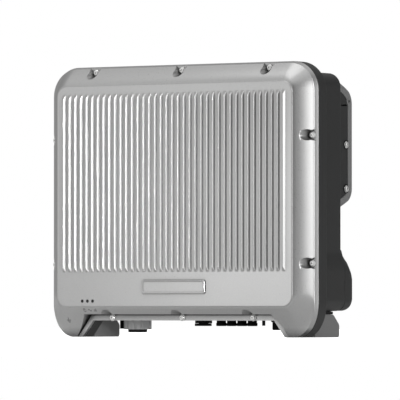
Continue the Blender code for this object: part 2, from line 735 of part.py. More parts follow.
def dc_switch():
    top = BODY_LOW - GAP
    body = box("dc_switch_body", SWITCH_X - 22.0, SWITCH_X + 22.0, PORT_DEPTH - 20.0,
               PORT_DEPTH + 5.6, CAVITY_LOW + GAP, 92.0)
    finish_object(body, black_plastic())
    knob = turned_up("dc_switch_knob", SWITCH_X, PORT_DEPTH, [
        (SWITCH_RADIUS - 2.5, 24.0), (SWITCH_RADIUS, 26.5), (SWITCH_RADIUS, top - 0.7)], 32)
    grip = box("grip", SWITCH_X - SWITCH_RADIUS + 1.5, SWITCH_X + SWITCH_RADIUS - 1.5,
               PORT_DEPTH - 7.0, PORT_DEPTH + 7.0, 11.2, 26.0)
    stem = turned_up("stem", SWITCH_X, PORT_DEPTH, [(4.2, top - 2.0), (4.2, 48.0)], 14)
    finish_object(join(knob, grip, stem), black_plastic())


def main():
    clear_scene()
    front_cover()
    cover_gasket()
    cover_screws()
    rear_housing()
    choke_cover()
    chokes()
    wall_bracket()
    heat_sink()
    bracket_screws()
    feet()
    light_pipes()
    power_board()
    power_modules()
    capacitors()
    relays()
    filter_choke()
    terminal_block()
    control_board()
    board_frame()
    fan()
    ac_connector()
    dc_connectors()
    comm_port()
    earth_stud()
    vent_plug()
    dc_switch()


main()
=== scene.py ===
"""The looks of a wall-hung string inverter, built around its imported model.

Lengths inside the mesh code are millimetres: X to the right of the front, depth back
from the flat front panel, Z up. at() turns them into the frame's metres.
"""

import math

import bmesh
import bpy
from bpy.props import FloatProperty, FloatVectorProperty, IntProperty, PointerProperty
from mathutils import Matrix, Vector


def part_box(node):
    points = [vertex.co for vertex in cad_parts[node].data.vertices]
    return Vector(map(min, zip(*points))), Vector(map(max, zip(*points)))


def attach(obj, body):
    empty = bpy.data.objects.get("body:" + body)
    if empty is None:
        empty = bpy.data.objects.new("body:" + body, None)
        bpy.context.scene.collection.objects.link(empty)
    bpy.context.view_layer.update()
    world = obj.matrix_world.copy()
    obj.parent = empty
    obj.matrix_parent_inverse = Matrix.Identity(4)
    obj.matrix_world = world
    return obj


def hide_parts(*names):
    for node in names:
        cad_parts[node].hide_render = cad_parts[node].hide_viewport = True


bl_info = {
    "name": "String Inverter",
    "version": (1, 0, 0),
    "blender": (4, 5, 0),
    "location": "View3D > Sidebar > Inverter",
    "description": "Builds a wall-hung string inverter, its finishes and its studio",
    "category": "Object",
}

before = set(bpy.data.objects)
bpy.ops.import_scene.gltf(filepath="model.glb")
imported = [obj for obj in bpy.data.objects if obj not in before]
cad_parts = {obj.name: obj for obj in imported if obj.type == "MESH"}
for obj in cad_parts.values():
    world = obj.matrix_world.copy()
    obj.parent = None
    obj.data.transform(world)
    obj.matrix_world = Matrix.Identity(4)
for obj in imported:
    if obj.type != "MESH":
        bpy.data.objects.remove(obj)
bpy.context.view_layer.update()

MM = 0.001
RIB_HEIGHT = 4.0
PANEL_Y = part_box("front_cover")[0].y + RIB_HEIGHT * MM
MAIN_BODY = "inverter"


def at(x, depth, z):
    """A place in the frame, from millimetres across, behind the panel and up."""
    return Vector((x * MM, PANEL_Y + depth * MM, z * MM))


def span(node):
    """A node's lowest and highest corner, as (x, depth, z) in millimetres."""
    return [Vector((p.x / MM, (p.y - PANEL_Y) / MM, p.z / MM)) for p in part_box(node)]


def middle(node):
    low, high = span(node)
    return (low + high) / 2


# The cover's outline, its panel and its shoulders.
RIM_HIGH = span("front_cover")[1]
HALF = RIM_HIGH.x
HEIGHT = RIM_HIGH.z
RIM_TOP_CUT = 47.0
RIM_LOW_CUTS = (36.0, 54.0)
RIM_FRONT = 26.5
RIM_DRAFT = 3.5
COVER_REAR = RIM_HIGH.y
PANEL_HALF = HALF - 28.5
PANEL_LOW = 49.0
PANEL_HIGH = HEIGHT - 32.6
PANEL_CUT = 17.0
SCREW_SEAT = 28.5
CHIN_CURVE = 0.54
ARCH = {"half_top": 172.5, "half_foot": 193.0, "height": 26.5}
MOUTH = {"half_top": 178.0, "half_foot": 202.5, "height": 36.5}
RIB_LOW = 103.7
RIB_HIGH = 389.0
RIB_END = 7.0
CAVITY = {"half": 228.0, "low": 48.0, "high": 409.0, "cut": 34.0}
# How far a screw pocket's mouth stands from its axis. Then its two rings, in front of the
# cover and at the seat, each with its radius along, its radius across, half its mouth and
# its depth.
POCKET_REACH = 12.0
POCKET_RINGS = ((15.5, 18.5, 24.0, -8.0), (6.6, 5.6, 14.5, SCREW_SEAT))
SHANK_HOLE = 2.6

# The housing behind it.
HOUSING_LOW, HOUSING_HIGH = span("rear_housing")
FLANGE_FRONT = HOUSING_LOW.y
FLANGE_REAR = span("foot_left")[0].y - 0.3
BODY_REAR = HOUSING_HIGH.y
BODY_HALF = HALF - 13.5
BODY_LOW = 41.0
BODY_HIGH = HEIGHT - 16.1
BODY_CUT = 22.0
CHEEK_HALF = HALF - 8.0
CHEEK_HIGH = 138.0
CHEEK_SHOULDER = 115.0
UNDERSIDE = BODY_LOW - 0.3
PORT_DEPTH = middle("ac_ring_nut").y

TRAY_LOW, TRAY_HIGH = span("wall_bracket")
REAR = TRAY_HIGH.y
TRAY_HALF = TRAY_HIGH.x
TRAY_SHEET = 3.0
TRAY_BAND = 12.0
EAR = Vector((0.0, 170.8, 375.5))
EAR_RADIUS = 7.0

COVER_SCREWS = [f"cover_screw_{i}" for i in range(1, 11)]
BRACKET_SCREWS = [f"bracket_screw_{i}" for i in range(1, 5)]


# ---------------------------------------------------------------- settings

class InverterSizes(bpy.types.PropertyGroup):
    """Sizes that a user would change."""

    rib_count: IntProperty(name="Ribs", description="Upright ribs on the front panel",
                           default=39, min=1)
    rib_pitch: FloatProperty(name="Rib pitch", description="Distance from rib to rib",
                             default=0.011, unit="LENGTH")
    rib_width: FloatProperty(name="Rib width", description="Width of a rib at its foot",
                             default=0.0058, unit="LENGTH")
    fin_pitch: FloatProperty(name="Fin pitch", description="Distance between heat sink fins",
                             default=0.0105, unit="LENGTH")
    edge_round: FloatProperty(name="Edge rounding", description="Rounding of cast edges",
                              default=0.0007, unit="LENGTH")


class InverterColours(bpy.types.PropertyGroup):
    """Colours of the finishes."""

    silver: FloatVectorProperty(name="Silver", description="Metallic paint of the cover",
                                subtype="COLOR", default=(0.60, 0.60, 0.597))
    dark: FloatVectorProperty(name="Dark", description="Powder coat of the housing",
                              subtype="COLOR", default=(0.033, 0.0335, 0.0335))
    grey: FloatVectorProperty(name="Grey", description="Powder coat of bracket and feet",
                              subtype="COLOR", default=(0.21, 0.21, 0.21))
    plastic: FloatVectorProperty(name="Plastic", description="Black moulded parts",
                                 subtype="COLOR", default=(0.006, 0.006, 0.006))
    nut: FloatVectorProperty(name="Ring nut", description="Grey moulded ring nut",
                             subtype="COLOR", default=(0.54, 0.54, 0.54))


def sizes():
    return bpy.context.scene.inverter_sizes


def colours():
    return bpy.context.scene.inverter_colours


# ---------------------------------------------------------------- mesh tools

def object_from(bm, name):
    bmesh.ops.recalc_face_normals(bm, faces=bm.faces)
    mesh = bpy.data.meshes.new(name)
    bm.to_mesh(mesh)
    bm.free()
    obj = bpy.data.objects.new(name, mesh)
    bpy.context.scene.collection.objects.link(obj)
    return obj


def loft(name, rings):
    """One closed body through rings of points that match one by one."""
    bm = bmesh.new()
    levels = [[bm.verts.new(p) for p in ring] for ring in rings]
    count = len(rings[0])
    for near, far in zip(levels, levels[1:]):
        for i in range(count):
            j = (i + 1) % count
            bm.faces.new((near[i], near[j], far[j], far[i]))
    bm.faces.new(levels[0])
    bm.faces.new(levels[-1])
    return object_from(bm, name)


def rounded(corners, steps=12):
    """An outline with rounded corners, each (x, z, cut) or (x, z, cut in, cut out)."""
    outline = []
    count = len(corners)
    for i, corner in enumerate(corners):
        here = Vector(corner[:2])
        cut_in, cut_out = corner[2], corner[-1]
        if cut_in <= 0:
            outline.append(here)
            continue
        before = (Vector(corners[i - 1][:2]) - here).normalized() * cut_in
        after = (Vector(corners[(i + 1) % count][:2]) - here).normalized() * cut_out
        for k in range(steps + 1):
            turn = math.pi / 2 * k / steps
            outline.append(here + before * (1 - math.sin(turn)) + after * (1 - math.cos(turn)))
    return outline


def plate_outline(half, low, high, cut, low_cuts=None, steps=12):
    across, up = low_cuts or (cut, cut)
    return rounded([(half, low, across, up), (half, high, cut),
                    (-half, high, cut), (-half, low, up, across)], steps)


def ring_back(outline, depth):
    return [at(p[0], depth, p[1]) for p in outline]


def prism_back(name, outline, front, back):
    return loft(name, [ring_back(outline, d) for d in (front, back)])


def prism_across(name, outline, left, right):
    return loft(name, [[at(x, p[0], p[1]) for p in outline] for x in (left, right)])


def prism_up(name, outline, low, high):
    return loft(name, [[at(p[0], p[1], z) for p in outline] for z in (low, high)])


def box(name, x0, x1, d0, d1, z0, z1):
    return prism_up(name, [(x0, d0), (x1, d0), (x1, d1), (x0, d1)], z0, z1)


def circle(centre, radius, segments):
    return [Vector((centre[0] + radius * math.cos(math.tau * k / segments),
                    centre[1] + radius * math.sin(math.tau * k / segments)))
            for k in range(segments)]


def turned_up(name, x, depth, steps, segments=48):
    """A body turned about an upright axis; steps are (radius, height) pairs."""
    return loft(name, [[at(p[0], p[1], z) for p in circle((x, depth), r, segments)]
                       for r, z in steps])


def turned_back(name, x, z, steps, segments=40):
    return loft(name, [ring_back(circle((x, z), r, segments), d) for r, d in steps])


def turned_across(name, depth, z, steps, segments=40):
    return loft(name, [[at(x, p[0], p[1]) for p in circle((depth, z), r, segments)]
                       for r, x in steps])


def rod_up(x, depth, radius, low, high, segments=48):
    """A plain round bar on an upright axis, to cut a hole with or to join on."""
    return turned_up("rod", x, depth, [(radius, low), (radius, high)], segments)


def rod_back(x, z, radius, front, back, segments=40):
    return turned_back("rod", x, z, [(radius, front), (radius, back)], segments)


def rod_across(depth, z, radius, left, right, segments=40):
    return turned_across("rod", depth, z, [(radius, left), (radius, right)], segments)


def block_outline(x0, x1, d0, d1, cut, steps):
    """The outline of an upright block with rounded corners."""
    return rounded([(x1, d0, cut), (x1, d1, cut), (x0, d1, cut), (x0, d0, cut)], steps)


def baked(obj):
    """Replaces obj's mesh by what its modifiers make of it."""
    evaluated = obj.evaluated_get(bpy.context.evaluated_depsgraph_get())
    mesh = bpy.data.meshes.new_from_object(evaluated)
    obj.modifiers.clear()
    obj.data = mesh
    return obj


def combine(obj, others, operation):
    for other in others:
        modifier = obj.modifiers.new("combine", "BOOLEAN")
        modifier.operation = operation
        modifier.object = other
        modifier.solver = "EXACT"
        baked(obj)
        bpy.data.objects.remove(other, do_unlink=True)
    return obj


def cut(obj, *cutters):
    return combine(obj, cutters, "DIFFERENCE")


def join(obj, *bodies):
    return combine(obj, bodies, "UNION")


def merged(name, objects):
    """Several meshes as the islands of one object."""
    bm = bmesh.new()
    for obj in objects:
        bm.from_mesh(obj.data)
        bpy.data.objects.remove(obj, do_unlink=True)
    return object_from(bm, name)


def soften(obj, width, segments=2, angle=35.0):
    """Rounds the sharp edges by width, in millimetres."""
    bevel = obj.modifiers.new("edges", "BEVEL")
    bevel.width = width * MM
    bevel.segments = segments
    bevel.limit_method = "ANGLE"
    bevel.angle_limit = math.radians(angle)
    bevel.use_clamp_overlap = True
    return baked(obj)


def place(obj, mat, nodes=(), body=MAIN_BODY, smooth=40.0):
    """Gives a finished piece its material, its body and the nodes that it stands for."""
    obj.data.materials.clear()
    obj.data.materials.append(mat)
    obj.data.shade_smooth()
    obj.data.set_sharp_from_angle(angle=math.radians(smooth))
    normals = obj.modifiers.new("normals", "WEIGHTED_NORMAL")
    normals.keep_sharp = True
    normals.weight = 50
    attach(obj, body)
    if nodes:
        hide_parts(*nodes)
    return obj


# ---------------------------------------------------------------- material tools

def feed(tree, node, **sockets):
    """Sets or links a node's inputs, by name or, as _0, _1 and so on, by number."""
    for key, value in sockets.items():
        socket = node.inputs[int(key[1:]) if key[0] == "_" else key.replace("_", " ")]
        if isinstance(value, bpy.types.NodeSocket):
            tree.links.new(value, socket)
        else:
            socket.default_value = value
    return node


def add_node(tree, kind, settings=None, **sockets):
    node = tree.nodes.new(kind)
    for key, value in (settings or {}).items():
        setattr(node, key, value)
    return feed(tree, node, **sockets)


def new_group(name, inputs, outputs):
    tree = bpy.data.node_groups.new(name, "ShaderNodeTree")
    for label, kind, value in inputs:
        socket = tree.interface.new_socket(label, in_out="INPUT", socket_type=kind)
        socket.default_value = value
    for label, kind in outputs:
        tree.interface.new_socket(label, in_out="OUTPUT", socket_type=kind)
    given = tree.nodes.new("NodeGroupInput").outputs
    return tree, given, tree.nodes.new("NodeGroupOutput").inputs


def object_place(tree):
    return add_node(tree, "ShaderNodeTexCoord").outputs["Object"]


def bump(tree, height, strength, distance=0.0001):
    return add_node(tree, "ShaderNodeBump", Strength=strength, Distance=distance,
                    Height=height).outputs[0]


def noise(tree, where, scale, detail=3.0, roughness=0.5):
    return add_node(tree, "ShaderNodeTexNoise", Vector=where, Scale=scale, Detail=detail,
                    Roughness=roughness).outputs["Fac"]


def maths(tree, operation, a, b=0.0, clamp=False):
    return add_node(tree, "ShaderNodeMath", {"operation": operation, "use_clamp": clamp},
                    _0=a, _1=b).outputs[0]


def between(tree, value, low, high, to_low=0.0, to_high=1.0):
    return add_node(tree, "ShaderNodeMapRange", Value=value, From_Min=low, From_Max=high,
                    To_Min=to_low, To_Max=to_high).outputs[0]


def mix(tree, factor, a, b):
    return add_node(tree, "ShaderNodeMix", {"data_type": "RGBA"}, _0=factor, _6=a,
                    _7=b).outputs[2]


def grain_group():
    """Fine texture of a sprayed or moulded skin, with broad uneven patches."""
    tree, given, out = new_group("Fine Grain", [
        ("Scale", "NodeSocketFloat", 900.0), ("Patches", "NodeSocketFloat", 14.0),
    ], [("Grain", "NodeSocketFloat"), ("Patch", "NodeSocketFloat")])
    where = object_place(tree)
    fine = noise(tree, where, given["Scale"], 3.0, 0.65)
    broad = noise(tree, where, given["Patches"], 2.0)
    tree.links.new(fine, out["Grain"])
    tree.links.new(broad, out["Patch"])
    return tree


def wear_group():
    """Mask of exposed edges, broken up by noise."""
    tree, given, out = new_group("Edge Wear", [
        ("Amount", "NodeSocketFloat", 0.5), ("Scale", "NodeSocketFloat", 160.0),
    ], [("Mask", "NodeSocketFloat")])
    where = object_place(tree)
    edge = add_node(tree, "ShaderNodeNewGeometry").outputs["Pointiness"]
    sharp = between(tree, edge, 0.51, 0.60)
    broken = between(tree, noise(tree, where, given["Scale"], 4.0), 0.35, 0.7)
    mask = maths(tree, "MULTIPLY", sharp, broken)
    tree.links.new(maths(tree, "MULTIPLY", mask, given["Amount"], True), out["Mask"])
    return tree


def dust_group():
    """Mask of thin dust that lies on faces that look up."""
    tree, given, out = new_group("Dust", [
        ("Amount", "NodeSocketFloat", 0.2), ("Scale", "NodeSocketFloat", 45.0),
    ], [("Mask", "NodeSocketFloat")])
    coords = add_node(tree, "ShaderNodeTexCoord")
    up = add_node(tree, "ShaderNodeSeparateXYZ", _0=coords.outputs["Normal"]).outputs["Z"]
    facing = between(tree, up, 0.35, 1.0)
    cloud = between(tree, noise(tree, coords.outputs["Object"], given["Scale"], 5.0), 0.3, 0.75)
    mask = maths(tree, "MULTIPLY", facing, cloud)
    tree.links.new(maths(tree, "MULTIPLY", mask, given["Amount"], True), out["Mask"])
    return tree


def recess_group():
    """Mask of painted shade in grooves, pockets and between ribs, where the surface is closed in.
    """
    tree, given, out = new_group("Recess Shade", [
        ("Reach", "NodeSocketFloat", 0.008), ("Amount", "NodeSocketFloat", 0.6),
    ], [("Mask", "NodeSocketFloat")])
    open_sky = add_node(tree, "ShaderNodeAmbientOcclusion", {"samples": 6},
                        Distance=given["Reach"]).outputs["AO"]
    closed = between(tree, open_sky, 0.95, 0.45)
    tree.links.new(maths(tree, "MULTIPLY", closed, given["Amount"], True), out["Mask"])
    return tree


def use_group(tree, name, **sockets):
    makers = {"Fine Grain": grain_group, "Edge Wear": wear_group, "Dust": dust_group,
              "Recess Shade": recess_group}
    group = bpy.data.node_groups.get(name) or makers[name]()
    return add_node(tree, "ShaderNodeGroup", {"node_tree": group}, **sockets).outputs


DUST_COLOUR = (0.42, 0.40, 0.37, 1.0)
BARE_METAL = (0.6, 0.6, 0.6, 1.0)


def coloured(colour, factor=1.0):
    return (*[min(1.0, c * factor) for c in colour], 1.0)


def blank_material(name):
    """A new material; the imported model's own plain ones already hold the slots' names."""
    mat = bpy.data.materials.new("finish_" + name)
    mat.use_nodes = True
    return mat, mat.node_tree, mat.node_tree.nodes["Principled BSDF"]


def coated(name, colour, metallic, roughness, grain_scale, contrast, relief,
           wear=0.0, dust=0.0, coat=0.0, spread=0.08, recess_shade=0.0, shine=0.5):
    """A painted, powder coated or moulded skin; all its fixed values sit on the shader."""
    found = bpy.data.materials.get("finish_" + name)
    if found:
        return found
    mat, tree, shader = blank_material(name)
    skin = use_group(tree, "Fine Grain", Scale=grain_scale)
    tone = between(tree, skin["Grain"], 0.3, 0.7)
    base = mix(tree, tone, coloured(colour, 1 - contrast), coloured(colour, 1 + contrast))
    patch = between(tree, skin["Patch"], 0.35, 0.65)
    base = mix(tree, maths(tree, "MULTIPLY", patch, 0.25), base, coloured(colour, 1 + contrast))
    # Painted shade: where the surface is closed in, the base colour turns to a near-black copy of
    # itself, in grooves, pockets and between ribs.
    if recess_shade:
        shade = use_group(tree, "Recess Shade", Reach=0.016, Amount=recess_shade)["Mask"]
        base = mix(tree, shade, base, coloured(colour, 0.06))
    if dust:
        film = use_group(tree, "Dust", Amount=dust)["Mask"]
        base = mix(tree, film, base, DUST_COLOUR)
    if wear:
        worn = use_group(tree, "Edge Wear", Amount=wear)["Mask"]
        base = mix(tree, worn, base, BARE_METAL)
        metallic = maths(tree, "MAXIMUM", worn, metallic)
    rough = between(tree, skin["Grain"], 0.2, 0.8, roughness - spread, roughness + spread)
    feed(tree, shader, Base_Color=base, Metallic=metallic, Roughness=rough,
         Normal=bump(tree, skin["Grain"], relief, 0.0002), Specular_IOR_Level=shine,
         Coat_Weight=coat, Coat_Roughness=0.3)
    return mat


def silver_paint():
    return coated("silver_paint", colours().silver, 0.92, 0.29, 700.0, 0.05, 0.02, dust=0.02,
                  coat=0.05, spread=0.03, recess_shade=0.8)


def dark_paint():
    return coated("dark_paint", colours().dark, 0.0, 0.50, 1100.0, 0.12, 0.14, wear=0.02,
                  dust=0.02)


def grey_paint():
    return coated("grey_paint", colours().grey, 0.0, 0.52, 1100.0, 0.08, 0.12, wear=0.03,
                  dust=0.02)


def black_plastic():
    return coated("black_plastic", colours().plastic, 0.0, 0.55, 1600.0, 0.2, 0.2, shine=0.12)


def nut_plastic():
    return coated("nut_plastic", colours().nut, 0.0, 0.5, 1500.0, 0.05, 0.16)


def rubber():
    return coated("rubber", (0.012, 0.012, 0.012), 0.0, 0.85, 800.0, 0.25, 0.25, dust=0.05)


def turned_metal(name, colour, roughness, metallic=1.0):
    """Bright metal with fine turning marks."""
    found = bpy.data.materials.get("finish_" + name)
    if found:
        return found
    mat, tree, shader = blank_material(name)
    where = object_place(tree)
    stretched = add_node(tree, "ShaderNodeMapping", Vector=where, Scale=(900.0, 90.0, 900.0))
    marks = noise(tree, stretched.outputs[0], 3.0, 4.0, 0.6)
    smear = noise(tree, where, 400.0, 2.0)
    base = mix(tree, between(tree, smear, 0.35, 0.65), coloured(colour, 0.86), coloured(colour))
    rough = between(tree, marks, 0.3, 0.7, roughness - 0.05, roughness + 0.12)
    feed(tree, shader, Base_Color=base, Metallic=metallic, Roughness=rough,
         Normal=bump(tree, marks, 0.12))
    return mat


def steel():
    return turned_metal("steel", (0.96, 0.96, 0.95), 0.18, 0.6)


def light_pipe():
    """Dark clear plastic, unlit, with a faint frosted face."""
    mat, tree, shader = blank_material("light_pipe")
    where = object_place(tree)
    cloud = noise(tree, where, 1200.0, 2.0)
    base = mix(tree, cloud, (0.004, 0.005, 0.005, 1.0), (0.010, 0.012, 0.011, 1.0))
    feed(tree, shader, Base_Color=base, Roughness=between(tree, cloud, 0.3, 0.7, 0.12, 0.3),
         Coat_Weight=0.6)
    return mat


def circuit_board():
    """Green solder mask over copper tracks on a grid, with tinned pads."""
    mat, tree, shader = blank_material("circuit_board")
    where = object_place(tree)
    flat = add_node(tree, "ShaderNodeMapping", {"vector_type": "POINT"}, Vector=where,
                    Rotation=(math.pi / 2, 0.0, 0.0))
    tracks = add_node(tree, "ShaderNodeTexBrick", {"offset": 0.5}, Vector=flat.outputs[0],
                      Scale=90.0, _1=(1.0, 1.0, 1.0, 1.0), _2=(0.5, 0.5, 0.5, 1.0))
    tracks.inputs["Mortar Size"].default_value = 0.03
    pads = add_node(tree, "ShaderNodeTexVoronoi", Vector=where, Scale=160.0).outputs["Distance"]
    pad = between(tree, pads, 0.16, 0.12)
    mask = mix(tree, tracks.outputs["Fac"], (0.006, 0.10, 0.035, 1.0), (0.012, 0.17, 0.06, 1.0))
    base = mix(tree, pad, mask, (0.62, 0.60, 0.55, 1.0))
    feed(tree, shader, Base_Color=base, Metallic=pad,
         Normal=bump(tree, tracks.outputs["Fac"], 0.4),
         Roughness=between(tree, pads, 0.0, 1.0, 0.25, 0.42))
    return mat


def wound_copper():
    """Enamelled wire laid side by side, seen as close bands."""
    mat, tree, shader = blank_material("wound_copper")
    where = object_place(tree)
    wire = add_node(tree, "ShaderNodeTexWave", {"bands_direction": "Z"}, Vector=where,
                    Scale=160.0, Distortion=0.6, Detail=1.0).outputs["Fac"]
    base = mix(tree, wire, (0.16, 0.045, 0.012, 1.0), (0.52, 0.19, 0.06, 1.0))
    feed(tree, shader, Base_Color=base, Metallic=0.7, Normal=bump(tree, wire, 0.8, 0.0006),
         Roughness=between(tree, wire, 0.0, 1.0, 0.5, 0.25))
    return mat


def capacitor_sleeve():
    """Shrunk film over a can, with a pale stripe down the negative side."""
    mat, tree, shader = blank_material("capacitor_sleeve")
    coords = add_node(tree, "ShaderNodeTexCoord")
    side = add_node(tree, "ShaderNodeSeparateXYZ", _0=coords.outputs["Normal"]).outputs["X"]
    stripe = between(tree, side, 0.93, 0.95)
    cloud = noise(tree, coords.outputs["Object"], 220.0, 3.0)
    film = mix(tree, cloud, (0.010, 0.014, 0.045, 1.0), (0.02, 0.028, 0.08, 1.0))
    feed(tree, shader, Base_Color=mix(tree, stripe, film, (0.45, 0.46, 0.48, 1.0)),
         Roughness=between(tree, cloud, 0.3, 0.7, 0.22, 0.4))
    return mat


# ---------------------------------------------------------------- front cover

def shoulder_ring(depth):
    """Half width, lowest and highest Z and corner cuts between the panel edge and the rim."""
    step, edge = 1.1, 1.0
    side = ((depth - step) / (RIM_FRONT - step)) ** 0.77
    chin = 1.0 - (1.0 - depth / (RIM_FRONT + 0.5)) ** CHIN_CURVE
    cut_top = PANEL_CUT + (RIM_TOP_CUT - RIM_DRAFT - PANEL_CUT) * side
    cuts_low = [PANEL_CUT + (c - PANEL_CUT) * side for c in RIM_LOW_CUTS]
    return (PANEL_HALF + edge + (HALF - RIM_DRAFT - PANEL_HALF - edge) * side,
            (PANEL_LOW - edge) * (1.0 - chin),
            PANEL_HIGH + edge + (HEIGHT - RIM_DRAFT - PANEL_HIGH - edge) * side, cut_top, cuts_low)


def cover_ring(half, low, high, cut_top, cuts_low, depth):
    """One ring of the cover, its straight sides divided alike on every ring."""
    corner = 14
    outline = plate_outline(half, low, high, cut_top, cuts_low, corner)
    divided = []
    for i, p in enumerate(outline):
        parts = 36 if i % (corner + 1) == corner else 1
        q = outline[(i + 1) % len(outline)]
        divided += [p.lerp(q, k / parts) for k in range(parts)]
    return ring_back(divided, depth)


def cover_rings():
    rings = []
    for grow, depth in ((-6.0, 0.0), (-0.9, 0.0), (-0.3, 0.06), (0.2, 0.3), (0.6, 0.75),
                        (0.85, 1.2)):
        cut_here = PANEL_CUT + max(grow, -5.0)
        rings.append(cover_ring(PANEL_HALF + grow, PANEL_LOW - grow, PANEL_HIGH + grow, cut_here,
                                [cut_here] * 2, depth))
    levels = 18
    for i in range(levels):
        depth = 1.5 + (RIM_FRONT - 0.7 - 1.5) * i / (levels - 1)
        rings.append(cover_ring(*shoulder_ring(depth), depth))
    for inset, depth in ((RIM_DRAFT - 0.25, RIM_FRONT + 0.1), (RIM_DRAFT - 0.7, RIM_FRONT + 0.9),
                         (RIM_DRAFT / 2, RIM_FRONT + 4.0), (0.0, COVER_REAR)):
        rings.append(cover_ring(HALF - inset, 0.3 * inset, HEIGHT - inset, RIM_TOP_CUT - inset,
                                RIM_LOW_CUTS, depth))
    return rings


def arch_cutter(name, half_top, half_foot, height, front, back):
    below = 5.0
    foot = half_foot + (half_foot - half_top) / height * below
    outline = [(-half_top, height), (-foot, -below), (foot, -below), (half_top, height)]
    return prism_back(name, [Vector(p) for p in outline], front, back)


def ledge_groove():
    """The groove in the ledge along the lower edge of the front wall."""
    foot, top, high = MOUTH["half_foot"], MOUTH["half_top"], MOUTH["height"]
    wide, low = 2.2, 6.0
    slope = (foot - top) / high
    outer = [(foot - slope * low, low), (top, high)]
    inner = [(top - wide, high - wide), (foot - slope * low - wide, low)]
    outline = [(-x, z) for x, z in outer] + [(x, z) for x, z in reversed(outer)]
    outline += [(x, z) for x, z in reversed(inner)] + [(-x, z) for x, z in inner]
    return prism_back("groove", [Vector(p) for p in outline], SCREW_SEAT - 0.5, SCREW_SEAT + 4.6)


def pocket_ring(x, z, turn, radius, half, mouth, depth):
    along = Vector((math.cos(turn), math.sin(turn)))
    side = Vector((-along.y, along.x))
    turns = [math.pi * k / 20 for k in range(21)]
    outline = [side * half * math.cos(t) - along * radius * math.sin(t) for t in turns]
    outline += [along * POCKET_REACH - side * mouth, along * POCKET_REACH + side * mouth]
    return [at(x + p.x, depth, z + p.y) for p in outline]


def screw_places():
    """Each cover screw's place, and the direction in which its pocket opens."""
    places = []
    for node in COVER_SCREWS:
        spot = middle(node)
        if abs(spot.x) > HALF - 20.0:
            turn = 0.0 if spot.x > 0 else math.pi
        else:
            turn = math.pi / 2 if spot.z > HEIGHT / 2 else -math.pi / 2
        places.append((node, spot.x, spot.z, turn))
    return places


class INVERTER_OT_cover(bpy.types.Operator):
    """Builds the cast front cover with its screw pockets, feet and ribs"""

    bl_idname = "inverter.cover"
    bl_label = "Front cover"

    def execute(self, context):
        cover = loft("cover_shell", cover_rings())
        hollow = loft("hollow", [
            ring_back(plate_outline(217.0, 56.0, 396.0, 16.0), 4.0),
            ring_back(plate_outline(222.0, 53.0, 401.0, 22.0), 12.0),
            ring_back(plate_outline(**CAVITY), 24.0), ring_back(plate_outline(**CAVITY), 40.0)])
        cut(cover, hollow, arch_cutter("mouth", **MOUTH, front=-20.0, back=SCREW_SEAT),
            arch_cutter("arch", **ARCH, front=-20.0, back=60.0))
        cut(cover, ledge_groove())
        for _, x, z, turn in screw_places():
            pocket = loft("pocket", [pocket_ring(x, z, turn, *ring) for ring in POCKET_RINGS])
            cut(cover, pocket, rod_back(x, z, SHANK_HOLE, 20.0, 40.0, 20))
        for i in (1, 2, 3):
            spot = middle(f"light_pipe_{i}")
            cut(cover, rod_back(spot.x, spot.z, 2.7, -5.0, 10.0, 32))
        soften(cover, sizes().edge_round / MM, 3)
        place(cover, silver_paint(), ["front_cover"])
        place(self.ribs(), silver_paint())
        return {"FINISHED"}

    def ribs(self):
        settings = sizes()
        half = settings.rib_width / MM / 2
        ribs = []
        for i in range(settings.rib_count):
            x = (i - (settings.rib_count - 1) / 2) * settings.rib_pitch / MM
            rings = []
            for wide, inset, depth in ((half + 0.2, -0.3, 0.25), (half, 0.0, 0.0),
                                       (0.45, RIB_END, -RIB_HEIGHT)):
                low, high = RIB_LOW + inset, RIB_HIGH - inset
                rings.append([at(x - wide, depth, low), at(x + wide, depth, low),
                              at(x + wide, depth, high), at(x - wide, depth, high)])
            ribs.append(loft("rib", rings))
        return soften(merged("cover_ribs", ribs), 0.35, 2, 20.0)


# ---------------------------------------------------------------- marks

BADGE_PLACE = Vector((2.0, 80.0))
MARKS_HEIGHT = 43.0


